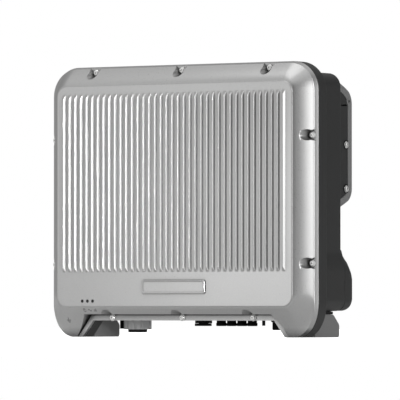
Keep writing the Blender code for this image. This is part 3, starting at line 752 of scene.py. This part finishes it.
class INVERTER_OT_marks(bpy.types.Operator):
    """Builds the blank name badge and the plain marks under the status lights"""

    bl_idname = "inverter.marks"
    bl_label = "Badge and marks"

    def execute(self, context):
        badge = loft("blank_badge", [
            ring_back([p + BADGE_PLACE for p in plate_outline(60.0 - inset, inset - 11.0,
                                                              11.0 - inset, 3.0)], depth)
            for inset, depth in ((0.0, 0.15), (0.0, -1.5), (0.9, -2.4), (2.2, -2.4), (3.1, -1.6),
                                 (3.4, -1.6))])
        place(badge, silver_paint())
        marks = coated("mark_ink", (0.12, 0.12, 0.12), 0.0, 0.5, 1200.0, 0.1, 0.05)
        place(self.light_marks(), marks)
        return {"FINISHED"}

    @staticmethod
    def chin_depth(z):
        """Depth of the sloped chin at a height, the same curve as the shoulder's."""
        fall = 1.0 - z / (PANEL_LOW - 1.0)
        return (RIM_FRONT + 0.5) * (1.0 - (1.0 - fall) ** (1.0 / CHIN_CURVE))

    def stroke(self, points, width):
        """A thin raised line on the chin through (x, z) points."""
        bm = bmesh.new()
        for a, b in zip(points, points[1:]):
            a, b = Vector(a), Vector(b)
            along = (b - a).normalized() * width / 2
            side = Vector((-along.y, along.x))
            corners = [a - along + side, a - along - side, b + along - side, b + along + side]
            verts = []
            for lift in (0.4, -0.12):
                verts.append([bm.verts.new(at(c.x, self.chin_depth(c.y) + lift, c.y))
                              for c in corners])
            for i in range(4):
                j = (i + 1) % 4
                bm.faces.new((verts[0][i], verts[0][j], verts[1][j], verts[1][i]))
            bm.faces.new(verts[0])
            bm.faces.new(verts[1])
        return object_from(bm, "stroke")

    def light_marks(self):
        strokes = []
        xs = [middle(f"light_pipe_{i}").x + 1.5 for i in (1, 2, 3)]
        ring = circle((xs[0], MARKS_HEIGHT), 2.3, 12)[1:]
        strokes.append(self.stroke(ring, 0.7))
        strokes.append(self.stroke([(xs[0], MARKS_HEIGHT), (xs[0], 45.8)], 0.7))
        wave = [(xs[1] - 2.6 + 0.65 * k, MARKS_HEIGHT + 1.6 * math.sin(math.tau * k / 8))
                for k in range(9)]
        strokes.append(self.stroke(wave, 0.7))
        for k in range(3):
            x = xs[2] - 2.0 + 2.0 * k
            strokes.append(self.stroke([(x, 41.2), (x, 42.6 + 1.3 * k)], 0.8))
        x, z = -212.0, 27.0
        strokes.append(self.stroke([(x, z + 4.0), (x, z)], 0.8))
        for k, half in enumerate((3.6, 2.4, 1.2)):
            strokes.append(self.stroke([(x - half, z - 1.7 * k), (x + half, z - 1.7 * k)], 0.8))
        return merged("plain_marks", strokes)


# ---------------------------------------------------------------- screws

def screw_profile(radius, rise):
    """(radius, distance from the seat) pairs of a shank, washer and pan head."""
    dome = [(radius * (0.62 + 0.38 * math.cos(a)), rise * (0.42 + 0.58 * math.sin(a)))
            for a in [math.pi / 2 * k / 8 for k in range(9)]]
    return [(2.0, -12.0), (2.0, 0.02), (radius + 0.9, 0.02), (radius + 0.9, 0.7),
            (radius + 0.2, 0.8), (radius, 0.9)] + dome


class INVERTER_OT_screws(bpy.types.Operator):
    """Builds the bright screws of the cover and of the wall bracket"""

    bl_idname = "inverter.screws"
    bl_label = "Screws"

    def execute(self, context):
        for i, (node, x, z, _) in enumerate(screw_places()):
            back = SCREW_SEAT - 0.3
            steps = [(r, back - s) for r, s in screw_profile(4.5, 3.4)]
            screw = turned_back(f"cover_bolt_{i + 1}", x, z, steps, 40)
            cut(screw, rod_back(x, z, 1.9, back - 6.0, back - 1.4, 6))
            place(soften(screw, 0.15, 2), steel(), [node])
        for i, node in enumerate(BRACKET_SCREWS):
            spot = middle(node)
            side = 1 if spot.x > 0 else -1
            seat = side * (TRAY_HALF - 0.3)
            steps = [(r, seat + side * s) for r, s in screw_profile(4.9, 3.4)]
            screw = turned_across(f"bracket_bolt_{i + 1}", spot.y, spot.z, steps, 40)
            cut(screw, rod_across(spot.y, spot.z, 1.8, seat + side * 1.2, seat + side * 6.0, 6))
            place(soften(screw, 0.15, 2), steel(), [node])
            ring = turned_across(f"bracket_washer_{i + 1}", spot.y, spot.z, [
                (7.2, seat + side * 0.1), (7.2, seat + side * 0.7), (6.8, seat + side * 1.0),
                (5.9, seat + side * 1.0), (5.9, seat + side * 0.1)], 40)
            place(ring, black_plastic())
        return {"FINISHED"}


# ---------------------------------------------------------------- housing

def rim_outline(inset=0.0):
    across, up = RIM_LOW_CUTS
    foot, top, height = ARCH["half_foot"] + inset, ARCH["half_top"] + inset, ARCH["height"] + inset
    return rounded([
        (HALF - inset, inset, across, up), (HALF - inset, HEIGHT - inset, RIM_TOP_CUT),
        (inset - HALF, HEIGHT - inset, RIM_TOP_CUT), (inset - HALF, inset, up, across),
        (-foot, inset, 2.0), (-top, height, 3.0), (top, height, 3.0), (foot, inset, 2.0)], 14)


def housing_body(inset, depth):
    return ring_back(plate_outline(BODY_HALF - inset, BODY_LOW + inset, BODY_HIGH - inset,
                                   BODY_CUT - inset, (max(3.0, 18.0 - inset),) * 2), depth)


class INVERTER_OT_housing(bpy.types.Operator):
    """Builds the dark cast housing behind the cover and the box over the chokes"""

    bl_idname = "inverter.housing"
    bl_label = "Housing"

    def execute(self, context):
        flange = loft("housing_casting", [ring_back(rim_outline(i), d) for i, d in (
            (0.5, FLANGE_FRONT), (0.0, FLANGE_FRONT + 0.6), (0.0, FLANGE_REAR - 2.2),
            (0.45, FLANGE_REAR - 0.9), (1.4, FLANGE_REAR))])
        arc = [(6.0 * (1 - math.cos(a)), BODY_REAR - 6.0 * (1 - math.sin(a)))
               for a in [math.pi / 2 * k / 6 for k in range(7)]]
        body = loft("body", [housing_body(i, d) for i, d in [(0.0, FLANGE_REAR - 5.0)] + arc])
        cheeks = prism_back("cheeks", rounded([
            (CHEEK_HALF, BODY_LOW + 0.5, 18.0), (CHEEK_HALF, CHEEK_SHOULDER, 12.0),
            (BODY_HALF - 1.0, CHEEK_HIGH, 0.0), (1.0 - BODY_HALF, CHEEK_HIGH, 0.0),
            (-CHEEK_HALF, CHEEK_SHOULDER, 12.0), (-CHEEK_HALF, BODY_LOW + 0.5, 18.0)]),
            FLANGE_REAR - 4.0, BODY_REAR - 0.5)
        join(flange, body, cheeks)
        for side in ("left", "right"):
            low, high = span(f"foot_{side}")
            join(flange, box("lug", low.x + 3.0, high.x - 3.0, low.y - 1.0, 112.0, 36.05,
                             BODY_LOW + 6.0))
        cut(flange, prism_back("hollow", plate_outline(**CAVITY), 20.0, BODY_REAR - 3.5))
        for _, x, z, _ in screw_places():
            cut(flange, rod_back(x, z, SHANK_HOLE, 20.0, 52.0, 16))
        ports = [("ac_ring_nut", 15.0), ("comm_port", 7.0), ("earth_stud", 3.0),
                 ("dc_switch_knob", 5.0), ("vent_plug", 6.8)]
        ports += [(f"dc_connector_{i}", 7.0) for i in range(1, 5)]
        for node, radius in ports:
            cut(flange, rod_up(middle(node).x, PORT_DEPTH, radius, 30.0, 60.0, 32))
        for i in (1, 2, 3):
            cut(flange, rod_back(middle(f"choke_{i}").x, 80.0, 9.0, 110.0, 140.0, 32))
        soften(flange, 1.0, 2)
        place(flange, dark_paint(), ["rear_housing"])
        place(self.choke_box(), dark_paint(), ["choke_cover"])
        return {"FINISHED"}

    @staticmethod
    def choke_box():
        def level(inset, shoulder, top, depth):
            half, top_half = CHEEK_HALF - inset, BODY_HALF - 4.0 - inset
            low = BODY_LOW + 1.0 + 2.0 * inset
            return ring_back(rounded([
                (half, low, 16.0), (half, shoulder, 10.0), (top_half, top, 0.0),
                (-top_half, top, 0.0), (-half, shoulder, 10.0), (-half, low, 16.0)]), depth)

        low, high = span("choke_cover")
        front, rear = low.y, high.y
        shell = loft("choke_box_shell", [
            level(0.0, 115.0, 137.0, front), level(0.0, 114.5, 131.0, front + 6.0),
            level(0.0, 112.0, 124.0, rear - 14.0), level(0.2, 108.0, 119.0, rear - 10.0),
            level(0.7, 104.0, 114.5, rear - 6.2), level(1.8, 100.0, 110.5, rear - 3.2),
            level(3.6, 97.0, 107.0, rear - 1.2), level(5.6, 94.5, 104.5, rear - 0.3),
            level(7.5, 93.0, 103.0, rear)])
        hollow = loft("hollow", [
            level(4.0, 111.0, 132.0, front - 5.0), level(4.0, 107.0, 118.0, rear - 16.0),
            level(10.0, 92.0, 101.0, rear - 3.0)])
        return soften(cut(shell, hollow), 0.8, 2)


# ---------------------------------------------------------------- heat sink and bracket

def tray_profile(inset, front):
    """Side profile of the heat sink bay, open to the front, drawn in by inset."""
    back = REAR - inset
    low, high = 200.0 + inset, 410.0 - inset
    knee, rise, slope = 149.0, 8.5, 0.33
    start = rise - (knee - front) * slope
    cut_back = 14.0 - inset * 0.45
    return rounded([(front, low + start, 0.0), (knee, low + rise, cut_back),
                    (back, 222.0 + inset * 0.7, cut_back), (back, 386.0 - inset * 0.7, cut_back),
                    (knee, high - rise, cut_back), (front, high - start, 0.0)], 12)


class INVERTER_OT_heat_sink(bpy.types.Operator):
    """Builds the finned heat sink and the grey wall bracket around it"""

    bl_idname = "inverter.heat_sink"
    bl_label = "Heat sink and bracket"

    def execute(self, context):
        place(self.sink(), dark_paint(), ["heat_sink"])
        place(self.tray(), grey_paint(), ["wall_bracket"])
        return {"FINISHED"}

    @staticmethod
    def sink():
        front = span("heat_sink")[0].y
        ends = []
        for side in (-1, 1):
            inner, outer = sorted((side * (HALF - 36.5), side * (TRAY_HALF - 0.6)))
            end = prism_across("end", tray_profile(TRAY_BAND + 0.6, front), inner, outer)
            slot = prism_across("slot", [Vector(p) for p in ((148.0, 366.9), (165.2, 368.1),
                                                             (165.2, 370.5), (148.0, 369.3))],
                                inner - 1.0, outer + 1.0)
            cut(end, slot, rod_across(EAR.y, EAR.z, EAR_RADIUS + 0.8, inner - 1.0, outer + 1.0))
            for z in (middle("bracket_screw_1").z, middle("bracket_screw_2").z):
                cut(end, rod_across(middle("bracket_screw_1").y, z, SHANK_HOLE, side * 210.0,
                                     side * 250.0, 20))
            ends.append(soften(end, 0.6, 2))
        half = HALF - 36.8
        plate = soften(box("plate", -half, half, front, front + 5.0, 215.0, 397.0), 0.5)
        pitch = sizes().fin_pitch / MM
        count = int((2 * (HALF - 40.0)) / pitch)
        fins = []
        for i in range(count):
            x = (i - (count - 1) / 2) * pitch
            root, tip = 1.5, 0.9
            outline = [Vector(p) for p in ((x - root, front + 4.5), (x + root, front + 4.5),
                                           (x + tip, REAR - 7.0), (x - tip, REAR - 7.0))]
            fins.append(soften(prism_up("fin", outline, 232.0, 380.0), 0.3, 1))
        return merged("fin_pack", ends + [plate] + fins)

    @staticmethod
    def tray():
        tray = prism_across("wall_tray", tray_profile(0.0, TRAY_LOW.y), -TRAY_HALF, TRAY_HALF)
        inner = TRAY_HALF - TRAY_SHEET
        cut(tray, prism_across("inside", tray_profile(TRAY_SHEET, 120.0), -inner, inner),
            prism_across("through", tray_profile(TRAY_BAND, 120.0), -260.0, 260.0))
        for x in (-TRAY_HALF + 0.1, inner + 0.1):
            join(tray, rod_across(EAR.y, EAR.z, EAR_RADIUS, x, x + TRAY_SHEET - 0.2))
        cut(tray, rod_across(EAR.y, EAR.z, 2.4, -250.0, 250.0, 24))
        for x in (-170.0, -85.0, 85.0, 170.0):
            for z in (262.0, 352.0):
                cut(tray, rod_back(x, z, 4.2, 165.0, 190.0, 32))
        return soften(tray, 0.7, 2)


# ---------------------------------------------------------------- stands

class INVERTER_OT_stands(bpy.types.Operator):
    """Builds the grey stands behind the feet and their black pads"""

    bl_idname = "inverter.stands"
    bl_label = "Stands"

    def execute(self, context):
        for name in ("left", "right"):
            low, high = span(f"foot_{name}")
            profile = rounded([(low.y, 0.0, 0.0), (high.y, 0.0, 4.0), (high.y, 20.0, 3.0),
                               (115.0, 36.0, 3.0), (low.y, 36.0, 0.0)], 6)
            stand = prism_across(f"stand_{name}", profile, low.x, high.x)
            cut(stand, box("hollow", low.x + 4.0, high.x - 4.0, low.y + 6.0, 112.0, 5.0, 32.0),
                box("hatch", low.x + 10.0, high.x - 10.0, low.y + 12.0, 106.0, -5.0, 10.0))
            place(soften(stand, 0.8, 3), grey_paint(), [f"foot_{name}"])
            low, high = span(f"foot_pad_{name}")
            pad = box(f"stand_pad_{name}", low.x, high.x, low.y, high.y, low.z, high.z)
            place(soften(pad, 0.6, 2), rubber(), [f"foot_pad_{name}"])
        return {"FINISHED"}


# ---------------------------------------------------------------- connectors

class INVERTER_OT_connectors(bpy.types.Operator):
    """Builds the sockets, the ring nut, the plugs and the earth stud underneath"""

    bl_idname = "inverter.connectors"
    bl_label = "Connectors"

    def execute(self, context):
        self.mains()
        self.strings()
        self.data()
        self.small_parts()
        return {"FINISHED"}

    @staticmethod
    def mains():
        spot = middle("ac_ring_nut")
        low, high = span("ac_ring_nut")
        x, depth = spot.x, spot.y
        radius = (high.x - low.x) / 2 + 0.2
        plate = prism_up("mains_socket", block_outline(x - 25.0, x + 25.0, depth - 25.0,
                                                       depth + 25.0, 5.0, 6),
                         UNDERSIDE - 4.0, UNDERSIDE)
        join(plate, rod_up(x, depth, 17.0, 14.5, UNDERSIDE - 2.0),
             rod_up(x, depth, 13.5, UNDERSIDE - 1.0, 62.0),
             box("latch", x - 28.5, x - 23.8, depth - 9.0, depth + 9.0, 13.0, UNDERSIDE - 1.0),
             box("arm", x - 28.5, x - 20.0, depth - 9.0, depth + 9.0, UNDERSIDE - 4.0,
                 UNDERSIDE - 1.0))
        cut(plate, rod_up(x, depth, 11.0, 10.0, 32.0))
        pins = [turned_up("pin", *centre, [(1.6, 33.0), (1.6, 20.5), (1.2, 20.0)], 16)
                for centre in circle((x, depth), 6.0, 5)]
        place(soften(plate, 0.5, 2), black_plastic(), ["ac_socket"])
        place(merged("mains_pins", pins), steel())

        count = 120
        outline = []
        for k in range(count):
            wave = 0.5 - 0.5 * math.cos(math.tau * k * 10 / count)
            ridge = radius - 2.2 * (1.0 - min(1.0, wave * 2.2))
            outline.append(Vector((x + ridge * math.cos(math.tau * k / count),
                                   depth + ridge * math.sin(math.tau * k / count))))
        nut = prism_up("mains_ring_nut", outline, low.z, high.z)
        cut(nut, rod_up(x, depth, 17.5, 5.0, 45.0, 64))
        place(soften(nut, 0.8, 3, 50.0), nut_plastic(), ["ac_ring_nut"],
              "ring_nut")

        low, high = span("ac_seal_ring")
        ring = turned_up("mains_seal", x, depth, [
            (14.2, low.z), (15.0, low.z + 0.4), (15.4, low.z + 1.2), (15.4, high.z)], 64)
        cut(ring, rod_up(x, depth, 11.0, 0.0, 30.0, 64))
        place(soften(ring, 0.3, 2, 50.0), rubber(), ["ac_seal_ring"])

    @staticmethod
    def strings():
        for i in range(1, 5):
            x, depth = middle(f"dc_connector_{i}").x, PORT_DEPTH
            low, high = span(f"dc_connector_{i}")
            body = turned_up(f"string_socket_{i}", x, depth, [
                (7.2, low.z), (8.0, low.z + 0.4), (8.4, low.z + 1.4), (8.4, 22.0), (7.5, 22.8),
                (7.5, 26.0), (9.2, 27.0), (9.2, 30.0), (8.2, 31.0), (8.2, 34.0), (9.2, 35.0),
                (9.2, UNDERSIDE), (6.0, UNDERSIDE), (6.0, high.z)], 40)
            slots = [box("slot", x + off - 1.2, x + off + 1.2, depth - 2.2, depth + 2.2, 10.0,
                         25.0) for off in (-7.2, 7.2)]
            cut(body, rod_up(x, depth, 4.6, 10.0, 34.0, 32), *slots)
            place(soften(body, 0.25, 2), black_plastic(), [f"dc_connector_{i}"])
        pins = [turned_up("pin", middle(f"dc_connector_{i}").x, PORT_DEPTH,
                          [(1.5, 35.0), (1.5, 23.0), (1.0, 22.2)], 16) for i in range(1, 5)]
        place(merged("string_pins", pins), steel())

    @staticmethod
    def data():
        low, high = span("comm_port")
        spot = middle("comm_port")
        body = prism_up("data_port", block_outline(low.x, high.x, low.y, high.y, 2.0, 5), low.z,
                        UNDERSIDE)
        join(body, rod_up(spot.x, spot.y, 6.0, UNDERSIDE - 1.0, high.z))
        cut(body, box("bore", spot.x - 7.0, spot.x + 7.0, spot.y - 4.5, spot.y + 4.5, 10.0, 34.0))
        place(soften(body, 0.4, 2), black_plastic(), ["comm_port"])
        low, high = span("comm_cap")
        cap = prism_up("data_cap", block_outline(low.x, high.x, low.y, high.y, 2.5, 5), low.z,
                       high.z)
        join(cap, box("tongue", spot.x - 6.6, spot.x + 6.6, spot.y - 4.1, spot.y + 4.1,
                      high.z - 1.0, 32.0))
        place(soften(cap, 0.4, 2), black_plastic(), ["comm_cap"], "comm_cap_body")

    @staticmethod
    def small_parts():
        spot = middle("earth_stud")
        low, high = span("earth_stud")
        nut = prism_up("nut", circle((spot.x, spot.y), 5.2, 6), 33.0, 37.5)
        stud = turned_up("earth_bolt", spot.x, spot.y, [
            (2.2, low.z), (2.6, low.z + 0.5), (2.6, 38.0), (6.4, 38.0), (6.4, UNDERSIDE),
            (2.4, UNDERSIDE), (2.4, high.z)], 32)
        join(stud, nut)
        place(soften(stud, 0.2, 2), turned_metal("plated_black", (0.03, 0.03, 0.03), 0.35),
              ["earth_stud"])
        spot = middle("vent_plug")
        low, high = span("vent_plug")
        plug = turned_up("breather", spot.x, spot.y, [
            (7.4, low.z), (8.6, low.z + 0.6), (9.0, low.z + 1.6), (9.0, UNDERSIDE),
            (5.8, UNDERSIDE), (5.8, high.z)], 40)
        slots = [box("slot", spot.x - 10.0, spot.x + 10.0, spot.y + off - 0.7, spot.y + off + 0.7,
                     28.0, 32.0) for off in (-4.0, 0.0, 4.0)]
        place(soften(cut(plug, *slots), 0.25, 2), black_plastic(), ["vent_plug"])


class INVERTER_OT_switch(bpy.types.Operator):
    """Builds the knob of the isolator switch underneath"""

    bl_idname = "inverter.switch"
    bl_label = "Isolator knob"

    def execute(self, context):
        spot = middle("dc_switch_knob")
        low, high = span("dc_switch_knob")
        radius = (high.x - low.x) / 2
        knob = turned_up("isolator_knob", spot.x, spot.y, [
            (radius - 3.4, 23.6), (radius - 1.6, 24.1), (radius - 0.5, 25.2), (radius, 27.0),
            (radius, UNDERSIDE - 0.7)], 72)
        grip = prism_up("grip", block_outline(spot.x - radius + 1.5, spot.x + radius - 1.5,
                                              spot.y - 7.0, spot.y + 7.0, 4.0, 6), low.z, 26.0)
        join(knob, grip, rod_up(spot.x, spot.y, 4.2, UNDERSIDE - 2.0, high.z, 24))
        place(soften(knob, 0.9, 3), black_plastic(), ["dc_switch_knob"],
              "switch_knob")
        return {"FINISHED"}


# ---------------------------------------------------------------- lights and inside

class INVERTER_OT_inside(bpy.types.Operator):
    """Builds the light pipes and finishes the parts inside the housing"""

    bl_idname = "inverter.inside"
    bl_label = "Lights and inside"

    def execute(self, context):
        clear = light_pipe()
        for i in (1, 2, 3):
            spot = middle(f"light_pipe_{i}")
            low, high = span(f"light_pipe_{i}")
            pipe = turned_back(f"status_light_{i}", spot.x, spot.z, [
                (1.4, low.y + 0.35), (2.1, low.y + 0.45), (2.6, low.y + 0.9), (2.6, high.y)], 32)
            place(pipe, clear, [f"light_pipe_{i}"])
        board = circuit_board()
        copper = wound_copper()
        sleeve = capacitor_sleeve()
        terminal = coated("terminal_plastic", (0.22, 0.24, 0.22), 0.0, 0.5, 1300.0, 0.06, 0.1)
        zinc = turned_metal("zinc", (0.55, 0.55, 0.5), 0.35)
        finishes = {"cover_gasket": rubber(), "board_frame": zinc, "terminal_block": terminal,
                    "filter_choke": copper}
        finishes.update({n: board for n in ("light_board", "power_board", "control_board")})
        finishes.update({f"choke_{i}": copper for i in (1, 2, 3)})
        finishes.update({f"capacitor_{i}": sleeve for i in (1, 2, 3, 4)})
        for node in ("power_module_1", "power_module_2", "relay_1", "relay_2", "fan_frame",
                     "fan_rotor", "dc_switch_body"):
            finishes[node] = black_plastic()
        for node, finish in finishes.items():
            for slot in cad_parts[node].material_slots:
                slot.material = finish
        return {"FINISHED"}


# ---------------------------------------------------------------- studio

# The room that the paint reflects: its even level, and soft panels given by how far round
# from the front (towards the right) and how high they stand, their half width from full
# to nothing, all in degrees, their height against their width, and the light they add.
ROOM_LEVEL = 0.34
ROOM_PANELS = (
    (-34.0, 6.0, 14.0, 44.0, 1.0, 0.41),
    (24.0, 0.0, 8.0, 30.0, 2.0, -0.14),
    (85.0, 0.0, 5.0, 17.0, 3.5, 2.9),
    (0.0, 80.0, 20.0, 55.0, 1.0, 0.42),
    (140.0, 0.0, 24.0, 48.0, 1.4, -0.26),
)

# The lamps: name, place, what each points at, width, height, spread in degrees and power.
LAMPS = (
    ("side_box", (0.95, -0.62, 0.32), (-0.27, -0.09, 0.27), 0.10, 0.6, 19.0, 0.36),
    ("front_box", (-0.40, -1.05, 0.15), (0.24, -0.09, 0.12), 0.45, 0.45, 120.0, 0.16),
    ("top_box", (-0.2, -0.3, 2.4), (0.0, 0.0, 0.3), 1.6, 1.0, 180.0, 3.4),
)
FLOOR_HALF = 3.0
FLOOR_DROP = 0.0002
CAMERA_YAW = math.radians(33.21)
CAMERA_TILT = math.radians(1.229)
CAMERA_AIM = math.radians(0.0406)
CAMERA_DISTANCE = 8.235
CAMERA_LENS = 462.65
CAMERA_PIVOT = at(0.0, 90.0, 42.8)


def soft_panel(tree, direction, azimuth, elevation, inner, outer, tall, light):
    """Light that a soft panel of the room adds in each direction."""
    round_, up = math.radians(azimuth), math.radians(elevation)
    axis = Vector((math.sin(round_) * math.cos(up), -math.cos(round_) * math.cos(up),
                   math.sin(up) / tall)).normalized()
    flat = add_node(tree, "ShaderNodeVectorMath", {"operation": "MULTIPLY"}, _0=direction,
                    _1=(1.0, 1.0, 1.0 / tall)).outputs[0]
    unit = add_node(tree, "ShaderNodeVectorMath", {"operation": "NORMALIZE"}, _0=flat).outputs[0]
    near = add_node(tree, "ShaderNodeVectorMath", {"operation": "DOT_PRODUCT"}, _0=unit,
                    _1=axis).outputs["Value"]
    inside = add_node(tree, "ShaderNodeMapRange", {"interpolation_type": "SMOOTHSTEP"},
                      Value=near, From_Min=math.cos(math.radians(outer)),
                      From_Max=math.cos(math.radians(inner)), To_Min=0.0, To_Max=1.0).outputs[0]
    return maths(tree, "MULTIPLY", inside, light)


class INVERTER_OT_studio(bpy.types.Operator):
    """Builds the pale floor, the soft lights and the camera"""

    bl_idname = "inverter.studio"
    bl_label = "Studio"

    def execute(self, context):
        scene = context.scene
        scene.view_settings.view_transform = "Standard"
        self.floor()
        self.surround()
        self.lights()
        self.camera(scene)
        return {"FINISHED"}

    @staticmethod
    def floor():
        bm = bmesh.new()
        bm.faces.new([bm.verts.new((x * FLOOR_HALF, y * FLOOR_HALF, -FLOOR_DROP))
                      for x, y in ((-1, -1), (1, -1), (1, 1), (-1, 1))])
        floor = object_from(bm, "studio_floor")
        mat, tree, shader = blank_material("studio_floor")
        where = object_place(tree)
        cloud = noise(tree, where, 3.0, 2.0)
        path = add_node(tree, "ShaderNodeLightPath").outputs
        seen = path["Is Camera Ray"]
        glow = mix(tree, path["Is Diffuse Ray"], (0.13, 0.13, 0.13, 1.0), (0.35, 0.35, 0.35, 1.0))
        pale = mix(tree, cloud, (0.88, 0.88, 0.88, 1.0), (0.92, 0.92, 0.92, 1.0))
        base = mix(tree, seen, (0.6, 0.6, 0.6, 1.0), pale)
        shine = mix(tree, seen, glow, (1.0, 1.0, 1.0, 1.0))
        feed(tree, shader, Base_Color=base, Emission_Color=shine, Emission_Strength=1.0,
             Roughness=0.9, Specular_IOR_Level=0.1)
        floor.data.materials.append(mat)

    @staticmethod
    def surround():
        """A white backdrop for the eye, and a soft grey room for reflections."""
        world = bpy.data.worlds.new("studio")
        bpy.context.scene.world = world
        world.use_nodes = True
        tree = world.node_tree
        tree.nodes.clear()
        where = add_node(tree, "ShaderNodeTexCoord").outputs["Generated"]
        level = add_node(tree, "ShaderNodeValue").outputs[0]
        level.default_value = ROOM_LEVEL
        for panel in ROOM_PANELS:
            level = maths(tree, "ADD", level, soft_panel(tree, where, *panel))
        room = maths(tree, "MAXIMUM", level, 0.02)
        seen = add_node(tree, "ShaderNodeLightPath").outputs["Is Camera Ray"]
        colour = mix(tree, seen, room, (1.0, 1.0, 1.0, 1.0))
        back = add_node(tree, "ShaderNodeBackground", Color=colour, Strength=1.0)
        out = tree.nodes.new("ShaderNodeOutputWorld")
        tree.links.new(back.outputs[0], out.inputs[0])

    @staticmethod
    def lights():
        for name, where, target, width, height, spread, power in LAMPS:
            data = bpy.data.lights.new(name, "AREA")
            data.shape = "RECTANGLE"
            data.size = width
            data.size_y = height
            data.spread = math.radians(spread)
            data.energy = power
            lamp = bpy.data.objects.new(name, data)
            lamp.location = where
            aim = Vector(target) - lamp.location
            lamp.rotation_euler = aim.to_track_quat("-Z", "Y").to_euler()
            bpy.context.scene.collection.objects.link(lamp)

    @staticmethod
    def camera(scene):
        data = bpy.data.cameras.new("front_view")
        data.lens = CAMERA_LENS
        data.sensor_width = 36.0
        data.clip_end = 100.0
        camera = bpy.data.objects.new("front_view", data)
        back = Vector((math.sin(CAMERA_YAW), -math.cos(CAMERA_YAW), 0.0))
        camera.location = CAMERA_PIVOT + back * CAMERA_DISTANCE
        camera.rotation_euler = (math.pi / 2 + CAMERA_TILT, 0.0, CAMERA_YAW + CAMERA_AIM)
        scene.collection.objects.link(camera)
        scene.camera = camera


# ---------------------------------------------------------------- add-on

STEPS = (
    INVERTER_OT_studio, INVERTER_OT_cover, INVERTER_OT_marks, INVERTER_OT_screws,
    INVERTER_OT_housing, INVERTER_OT_heat_sink, INVERTER_OT_stands, INVERTER_OT_connectors,
    INVERTER_OT_switch, INVERTER_OT_inside,
)


class INVERTER_PT_panel(bpy.types.Panel):
    """Lists the sizes, the colours and the pieces"""

    bl_idname = "INVERTER_PT_panel"
    bl_label = "String Inverter"
    bl_space_type = "VIEW_3D"
    bl_region_type = "UI"
    bl_category = "Inverter"

    def draw(self, context):
        for group in (context.scene.inverter_sizes, context.scene.inverter_colours):
            column = self.layout.column(align=True)
            for name in type(group).__annotations__:
                column.prop(group, name)
        for step in STEPS:
            self.layout.operator(step.bl_idname)


CLASSES = (InverterSizes, InverterColours, *STEPS, INVERTER_PT_panel)


def register():
    for cls in CLASSES:
        bpy.utils.register_class(cls)
    bpy.types.Scene.inverter_sizes = PointerProperty(type=InverterSizes)
    bpy.types.Scene.inverter_colours = PointerProperty(type=InverterColours)


def unregister():
    del bpy.types.Scene.inverter_colours
    del bpy.types.Scene.inverter_sizes
    for cls in reversed(CLASSES):
        bpy.utils.unregister_class(cls)


def main():
    register()
    for step in STEPS:
        group, name = step.bl_idname.split(".")
        getattr(getattr(bpy.ops, group), name)()
    bpy.context.view_layer.update()


if __name__ == "__main__":
    main()
